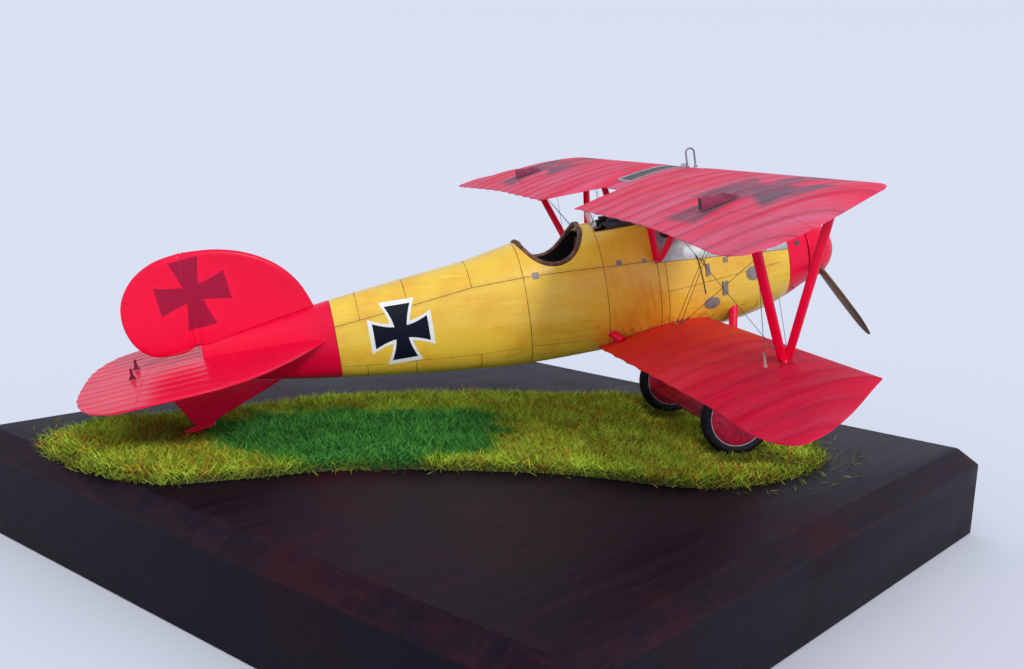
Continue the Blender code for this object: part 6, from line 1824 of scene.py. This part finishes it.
def build_gear():
    for side, word in SIDES:
        foot = Vector((side * GEAR_FOOT_X, AXLE_A, AXLE_U + 1.7))
        shape, metal = Shape(), Shape()
        for (x, a, u), spread in zip(GEAR_TOPS, (-0.5, 0.8)):
            start = foot + Vector((0.0, spread, 0.0))
            end = Vector((side * x, a, u))
            shape.strut(start, end, 1.9, 1.25, 24, 0.1)
        item = solid("gear_struts_" + word, shape)
        carve(item, body_shape(15.0, 60.0, SEAM, 2.0, count=72))
        done(item, "red_paint", "red_paint", stands_for=("gear_leg_" + word,))
        # the shock cord bound round the axle's end
        for k in range(7):
            x = side * (GEAR_FOOT_X - 0.55 + 0.19 * k)
            metal.tube([(x, AXLE_A + 0.85 * math.cos(t), AXLE_U + 0.55 + 1.0 * math.sin(t))
                        for t in (math.tau * i / 14 for i in range(14))], 0.11, 6, closed=True)
        piece("gear_fittings_" + word, metal, "dark_red", "red_paint")


def build_axle():
    """Aerofoil fairing across the axle, the axle ends and the feet of the legs."""
    half = GEAR_FOOT_X + 1.3
    shape = Shape()
    rings = []
    for x, shrink in [(-half, 0.55), (-half + 0.12, 0.2), (-half + 0.4, 0.0)] + [
            (x, 0.0) for x in spaced(-half + 2.0, half - 2.0, 1.6)] + [(half - 0.4, 0.0), (half - 0.12, 0.2), (half, 0.55)]:
        ring = section((AXLE_A - 3.6 + shrink, AXLE_U), (AXLE_A + 6.4 - shrink, AXLE_U), 0.3 * (1 - 0.35 * shrink),
                       0.0, 0.3, 24)
        rings.append([(x, y, z) for y, z in ring])
    shape.loft(rings)
    end = WHEEL_X + 0.5 * TYRE_WIDTH + 0.35
    shape.turned([(-end, 0.3), (-end + 0.2, 0.55), (end - 0.2, 0.55), (end, 0.3)], "X", (0.0, AXLE_A, AXLE_U), 20)
    for side in (-1, 1):
        x = side * GEAR_FOOT_X
        shape.box((x - 0.7, AXLE_A - 1.7, AXLE_U), (x + 0.7, AXLE_A + 1.9, AXLE_U + 1.6), 0.2)
    piece("axle_wing", shape, "axle_red", "red_paint", stands_for=("axle_fairing",), angle=40.0)
    ends = Shape()
    for side in (-1, 1):
        ends.turned([(side * (WHEEL_X + 0.5 * TYRE_WIDTH + 0.05), 0.72), (side * (end + 0.05), 0.7),
                     (side * (end + 0.1), 0.3)], "X", (0.0, AXLE_A, AXLE_U), 6)
    piece("axle_nuts", ends, "gun_metal", "red_paint")


def build_wheels():
    """A round tyre with a fine bead and moulding line, and a shallow cone disc with spokes showing through."""
    for side, word in SIDES:
        centre = (side * WHEEL_X, AXLE_A, AXLE_U)
        half = 0.5 * TYRE_WIDTH
        profile = [(-0.62 * half, RIM_RADIUS)]
        for i in range(25):
            t = math.pi * i / 24
            r = TYRE_RADIUS - 1.15 + 1.15 * math.sin(t)
            if abs(i - 12) == 1:
                r -= 0.03
            profile.append((-half * math.cos(t), r))
            if i in (4, 19):
                profile.append((-half * math.cos(t) * 1.0, r + 0.035))
        profile.append((0.62 * half, RIM_RADIUS))
        body = "wheel_" + word
        piece("tyre_tread_" + word, Shape().turned(profile, "X", centre, 96, closed=True), "tyre_rubber",
              "tyre_rubber", body, ("tyre_" + word,))
        rings = []
        steps = 120
        face = [(-0.62 * half, RIM_RADIUS - SEAM), (-0.72 * half, 5.55), (-0.8 * half, 5.35), (-0.88 * half, 4.7),
                (-0.93 * half, 4.0), (-half, 2.6), (-half - 0.13, 1.3), (-half - 0.15, 0.9), (-half - 0.15, 0.65)]
        profile = face + [(-x, r) for x, r in reversed(face)]
        for i in range(steps):
            t = math.tau * i / steps
            ring = []
            for x, r in profile:
                ridge = 0.05 * max(0.0, math.cos(t * 20.0)) ** 3 if 1.3 < r < 5.4 else 0.0
                x = x + math.copysign(ridge, x)
                ring.append((centre[0] + x, centre[1] + r * math.cos(t), centre[2] + r * math.sin(t)))
            rings.append(ring)
        piece("disc_cover_" + word, Shape().loft(rings, closed=True), "disc_red", "disc_red", body,
              ("wheel_disc_" + word,), angle=50.0)
        trim = Shape()
        for way in (-1, 1):
            x = centre[0] + way * 0.66 * half
            trim.tube([(x, centre[1] + (RIM_RADIUS + 0.02) * math.cos(t), centre[2] + (RIM_RADIUS + 0.02) * math.sin(t))
                       for t in (math.tau * i / 72 for i in range(72))], 0.1, 8, closed=True)
        piece("rim_ring_" + word, trim, "rim_grey", "disc_red", body)


# Tail

def slab_shape(outline, thickness, ridges=()):
    """A flat surface standing on the centreline, rounded off towards its rim."""
    centre = Vector((sum(p[0] for p in outline) / len(outline), sum(p[1] for p in outline) / len(outline)))
    levels = ((0.5, 0.97), (0.5, 0.6), (0.5, 0.3), (0.49, 0.16), (0.44, 0.09), (0.36, 0.045), (0.25, 0.015), (0.12, 0.0))
    rings = []
    for x, inset in levels + tuple((-x, inset) for x, inset in reversed(levels)):
        rings.append([(x * thickness, *(Vector(p[:2]) + (centre - Vector(p[:2])) * inset)) for p in outline])
    return Shape().loft(rings)


def build_fin_and_rudder():
    rim = list(FIN_AND_RUDDER)
    front = [tuple(p) for p in spline(rim[:6], 5)]
    item = solid("fin_skin", slab_shape(front + [(135.5, 12.0), (135.5, 3.5), (133.0, 0.6), (122.0, 2.4), (112.2, 4.0)], 1.5))
    combine(item, Shape().box((-5.0, 100.0, -5.0), (5.0, RUDDER_HINGE - SEAM, 40.0)), "INTERSECT")
    carve(item, body_shape(109.5, STERN_POST + SEAM, SEAM, 1.5, count=72))
    done(item, "tail_red", "red_paint", stands_for=("fin",), angle=50.0)
    rear = [tuple(p) for p in spline([(RUDDER_HINGE + SEAM, rim[5][1])] + rim[6:-1] + [(RUDDER_HINGE + SEAM, 3.4)], 5)]
    piece("rudder_skin", slab_shape(rear, 1.4), "tail_red", "red_paint", stands_for=("rudder",), angle=50.0)
    trim = Shape()
    trim.box((-0.45, RUDDER_HINGE - 0.4, 3.7), (0.45, RUDDER_HINGE + 0.4, 21.5))
    piece("rudder_hinges", trim, "tail_red", "red_paint")


def build_tailplane():
    item = solid("tail_skin", wing_shape(TAIL, -28.3, 28.3))
    combine(item, Shape().box((-60.0, 100.0, -10.0), (60.0, ELEVATOR_HINGE - SEAM, 10.0)), "INTERSECT")
    carve(item, body_shape(109.5, STERN_POST + SEAM, SEAM, 1.5, count=72))
    done(item, "tail_plane_red", "wing_red", stands_for=("tailplane",), angle=40.0)
    item = solid("elevator_skin", wing_shape(TAIL, -28.3, 28.3))
    combine(item, Shape().box((-60.0, ELEVATOR_HINGE + SEAM, -10.0), (60.0, 170.0, 10.0)), "INTERSECT")
    done(item, "tail_plane_red", "wing_red", stands_for=("elevator",), angle=40.0)
    hinges = Shape()
    for low, high in ((-28.0, 28.0),):
        rows = []
        for x in spaced(low, high, 2.0):
            top, below = surface(TAIL, x, ELEVATOR_HINGE, -0.09), surface(TAIL, x, ELEVATOR_HINGE, -0.09, under=True)
            rows.append([(x, ELEVATOR_HINGE - 0.4, top[2]), (x, ELEVATOR_HINGE + 0.4, top[2]),
                         (x, ELEVATOR_HINGE + 0.4, below[2]), (x, ELEVATOR_HINGE - 0.4, below[2])])
        hinges.loft(rows)
    piece("elevator_hinges", hinges, "tail_plane_red", "wing_red")


def build_ventral_fin_and_skid():
    outline = [(119.8, -6.0), (126.5, -8.6), (132.0, -10.7), (137.2, -12.9), (139.4, -12.3), (142.6, -6.6),
               (144.4, -1.4), (135.0, -1.4), (120.0, -4.0)]
    shape = Shape()
    shape.loft([[(x, *(Vector(p) + (Vector((134.0, -5.0)) - Vector(p)) * inset)) for p in outline]
                for x, inset in ((-0.6, 0.06), (-0.5, 0.015), (-0.25, 0.0), (0.25, 0.0), (0.5, 0.015), (0.6, 0.06))])
    item = solid("ventral_skin", shape)
    carve(item, body_shape(109.5, STERN_POST + 0.1, SEAM, 1.5, count=72), wing_shape(TAIL, -6.0, 6.0, SEAM, False))
    done(item, "red_paint", "red_paint", stands_for=("ventral_fin",))
    tip_a, tip_u = 141.2, -13.6
    skid = Shape().strut((0.0, tip_a - 5.6, tip_u + 1.0), (0.0, tip_a + 0.4, tip_u), 1.1, 1.6, 16)
    piece("skid_bar", skid, "red_paint", "red_paint", stands_for=("tail_skid",))
    binding = Shape()
    for k in range(4):
        a = 138.0 + 0.2 * k
        binding.tube([(0.85 * math.cos(t), a, -13.1 + 0.62 * math.sin(t)) for t in (math.tau * i / 12 for i in range(12))],
                     0.08, 6, closed=True)
    piece("skid_binding", binding, "red_paint", "red_paint")


def build_horns():
    for side, word in SIDES:
        x = side * HORN_X
        foot = surface(TAIL, x, 148.5, 0.1)[2]
        outline = [(147.75, foot), (149.2, foot), (148.75, foot + 0.9), (148.72, foot + 1.9), (148.5, foot + 2.15),
                   (148.25, foot + 1.9), (148.2, foot + 0.9)]
        rings = [[(x + dx, *(Vector(p) + (Vector((148.5, foot + 1.0)) - Vector(p)) * inset)) for p in outline]
                 for dx, inset in ((-0.25, 0.12), (-0.15, 0.0), (0.15, 0.0), (0.25, 0.12))]
        piece("horn_" + word, Shape().loft(rings), "dark_red", "dark_red", stands_for=("elevator_horn_" + word,))


def build_wing_stubs():
    for side, word in SIDES:
        shape = Shape().tube(spline([(side * 5.0, 55.2, -8.0), (side * 7.5, 53.8, -8.9), (side * 9.4, 52.6, -10.0)], 6),
                             0.85, 20)
        item = solid("stub_cover_" + word, shape)
        carve(item, body_shape(30.0, 70.0, SEAM, 2.0, count=72))
        bed = wing_shape(LOWER, *sorted((side * 4.0, side * 12.0)), SEAM, False)
        combine(item, bed, "DIFFERENCE")
        done(item, "red_paint", "red_paint", stands_for=("wing_stub_" + word,))


# Rigging

def wire(shape, start, end, thick=0.06, buckle=0.0):
    """A taut wire between two eyes, with a turnbuckle at its lower end."""
    start, end = Vector(start), Vector(end)
    way = (end - start).normalized()
    shape.tube([start, end], thick, 6)
    for p in (start, end):
        shape.ball(p, 0.18, 8)
    if buckle:
        a, b = start + way * buckle, start + way * (buckle + 2.0)
        c = (b - a) / 5.0
        shape.tube([a, a + c, a + 2.0 * c, a + 3.0 * c, a + 4.0 * c, b], [0.06, 0.14, 0.17, 0.17, 0.14, 0.06], 8)


def build_rigging():
    wires, control = Shape(), Shape()
    for side, word in SIDES:
        def low(x, a):
            return Vector(surface(LOWER, side * x, a, 0.1))

        def high(x, a):
            return Vector(surface(UPPER, side * x, a, 0.1, under=True))

        foot = low(V_FOOT_X, 39.5) + Vector((0.0, 0.0, 0.5))
        for shift in (0.0, 0.9):
            wire(wires, low(11.0 + 0.3 * shift, 41.3 - shift), high(60.5 + shift, 50.0), buckle=1.2)
        wire(wires, low(11.0, 39.6), high(66.0, 33.6), buckle=1.2)
        wire(wires, foot + Vector((0.0, 0.8, 0.2)), high(13.6, 46.2), buckle=1.4)
        wire(wires, foot + Vector((0.0, -0.6, 0.2)), (side * 3.6, 14.6, body_size(14.6)[1] + 0.9), 0.06)
        wire(wires, low(57.0, 43.6), high(59.6, 44.0), 0.06)
        gear = Vector((side * 13.4, AXLE_A, AXLE_U + 2.4))
        wire(wires, gear, (-side * 6.2, 27.0, -7.6), buckle=1.2)
        base = low(57.0, 43.6)
        control.turned([(base.z, 0.32), (base.z + 0.4, 0.3), (base.z + 0.5, 0.18), (base.z + 2.4, 0.2), (base.z + 2.6, 0.08)],
                       "Z", (base.x, base.y, 0.0), 12)
        for x, a in ((11.0, 41.3), (11.0, 39.8)):
            eye = low(x, a)
            control.ball(eye + Vector((0.0, 0.0, 0.1)), 0.38, 10)
            control.tube([eye, eye + Vector((side * 1.3, 0.2, 0.9))], 0.16, 8)
        control.ball((side * 4.2, 44.4, 11.95), 0.5, 10)
        horn = surface(TAIL, side * HORN_X, 148.5, 1.9)
        wire(wires, (side * 1.0, 135.6, 3.3), horn, 0.05)
    piece("rigging_wires", wires, "wire_grey", "pipe_metal", angle=50.0)
    piece("rigging_fittings", control, "pale_fitting", "pipe_metal", angle=50.0)


# Stage, light and camera

def build_stage():
    mesh = bpy.data.meshes.new("floor")
    mesh.from_pydata([(-9.0, -9.0, 0.0), (9.0, -9.0, 0.0), (9.0, 9.0, 0.0), (-9.0, 9.0, 0.0)], [], [(0, 1, 2, 3)])
    floor = bpy.data.objects.new("floor", mesh)
    bpy.context.scene.collection.objects.link(floor)
    pale = Finish("floor_paper", (0.782, 0.786, 0.826), 0.95, Specular_IOR_Level=0.1)
    floor.data.materials.append(pale.material)

    world = bpy.data.worlds.new("studio")
    world.use_nodes = True
    tree = world.node_tree
    back = tree.nodes["Background"]
    spot = tree.nodes.new("ShaderNodeTexCoord")
    parts = tree.nodes.new("ShaderNodeSeparateXYZ")
    ramp = tree.nodes.new("ShaderNodeValToRGB")
    tree.links.new(spot.outputs["Generated"], parts.inputs[0])
    tree.links.new(parts.outputs[2], ramp.inputs[0])
    tree.links.new(ramp.outputs[0], back.inputs["Color"])
    ramp.color_ramp.interpolation = "EASE"
    ramp.color_ramp.elements[0].position, ramp.color_ramp.elements[0].color = 0.0, (*HORIZON, 1.0)
    ramp.color_ramp.elements[1].position, ramp.color_ramp.elements[1].color = 0.75, (*ZENITH, 1.0)
    back.inputs["Strength"].default_value = 1.0
    bpy.context.scene.world = world
    bpy.context.scene.view_settings.view_transform = "Standard"

    for name, toward, softness, power, colour in (
        ("key", (0.82, 0.16, -0.55), 11.0, 1.35, (1.0, 0.98, 0.96)),
        ("fill", (0.45, -0.70, -0.55), 60.0, 0.35, (0.90, 0.95, 1.0)),
    ):
        lamp = bpy.data.lights.new(name, "SUN")
        lamp.energy, lamp.angle, lamp.color = power, math.radians(softness), colour
        item = bpy.data.objects.new(name, lamp)
        item.rotation_mode = "QUATERNION"
        item.rotation_quaternion = Vector(toward).to_track_quat("-Z", "Y")
        bpy.context.scene.collection.objects.link(item)


HORIZON = (0.70, 0.75, 0.90)
ZENITH = (0.58, 0.65, 0.78)


def build_camera():
    """The photograph's own viewpoint: from behind the starboard wing, a little above the tail."""
    forward = Vector((0.95687, -0.2368, -0.16832)).normalized()
    level = forward.cross(Vector((0.0, 0.0, 1.0))).normalized()
    lift = level.cross(forward)
    roll = math.radians(2.67)
    right = level * math.cos(roll) + lift * math.sin(roll)
    up = lift * math.cos(roll) - level * math.sin(roll)
    lens = bpy.data.cameras.new("camera")
    lens.lens, lens.sensor_width, lens.sensor_fit = 39.96, 36.0, "HORIZONTAL"
    lens.clip_start, lens.clip_end = 0.01, 30.0
    camera = bpy.data.objects.new("camera", lens)
    turn = Matrix((right, up, -forward)).transposed().to_4x4()
    camera.matrix_world = Matrix.Translation((-0.22549, 0.05281, 0.0810)) @ turn
    bpy.context.scene.collection.objects.link(camera)
    bpy.context.scene.camera = camera


CAD_PAINT = {
    "plinth": "stained_wood", "grass_mat": "groundwork", "fuselage": "varnished_ply", "nose_band": "red_paint",
    "spinner": "red_paint", "propeller_blade_a": "laminated_wood", "propeller_blade_b": "laminated_wood",
    "upper_cowl": "grey_metal", "engine": "engine_metal", "exhaust": "burnt_steel", "gun_left": "gun_metal",
    "gun_right": "gun_metal", "cockpit_coaming": "leather", "seat": "leather", "cockpit_floor": "floor_wood",
    "instrument_panel": "panel_black", "control_column": "gun_metal", "windscreen": "clear_sheet",
    "tail_cone": "tail_red", "upper_wing": "upper_wing_red", "aileron_left": "upper_wing_red",
    "aileron_right": "upper_wing_red", "aileron_crank_left": "dark_red", "aileron_crank_right": "dark_red",
    "radiator_panel": "radiator_grey", "wing_pipe": "pipe_metal", "lower_wing_left": "lower_wing_red",
    "lower_wing_right": "lower_wing_red", "wing_stub_left": "red_paint", "wing_stub_right": "red_paint",
    "v_strut_left": "red_paint", "v_strut_right": "red_paint", "cabane_strut_left": "red_paint",
    "cabane_strut_right": "red_paint", "gear_leg_left": "red_paint", "gear_leg_right": "red_paint",
    "axle_fairing": "red_paint", "tyre_left": "tyre_rubber", "tyre_right": "tyre_rubber",
    "wheel_disc_left": "disc_red", "wheel_disc_right": "disc_red", "fin": "tail_red", "rudder": "tail_red",
    "tailplane": "tail_plane_red", "elevator": "tail_plane_red", "elevator_horn_left": "dark_red",
    "elevator_horn_right": "dark_red", "ventral_fin": "red_paint", "tail_skid": "red_paint",
}


def dress_frame():
    for name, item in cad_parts.items():
        item.data.materials.clear()
        item.data.materials.append(PAINT[CAD_PAINT[name]])


build_stage()
build_camera()
dress_frame()
build_plinth()
build_ground()
build_grass()
build_spinner()
build_blades()
build_nose()
build_fuselage()
build_side_plates()
build_body_crosses()
build_cowl()
build_engine()
build_exhaust()
build_guns()
build_coaming()
build_cockpit()
build_windscreen()
build_tail_cone()
build_upper_wing()
build_radiator()
build_wing_pipe()
build_cranks()
build_lower_wings()
build_interplane_struts()
build_cabane_struts()
build_gear()
build_axle()
build_wheels()
build_fin_and_rudder()
build_tailplane()
build_ventral_fin_and_skid()
build_horns()
build_wing_stubs()
build_rigging()
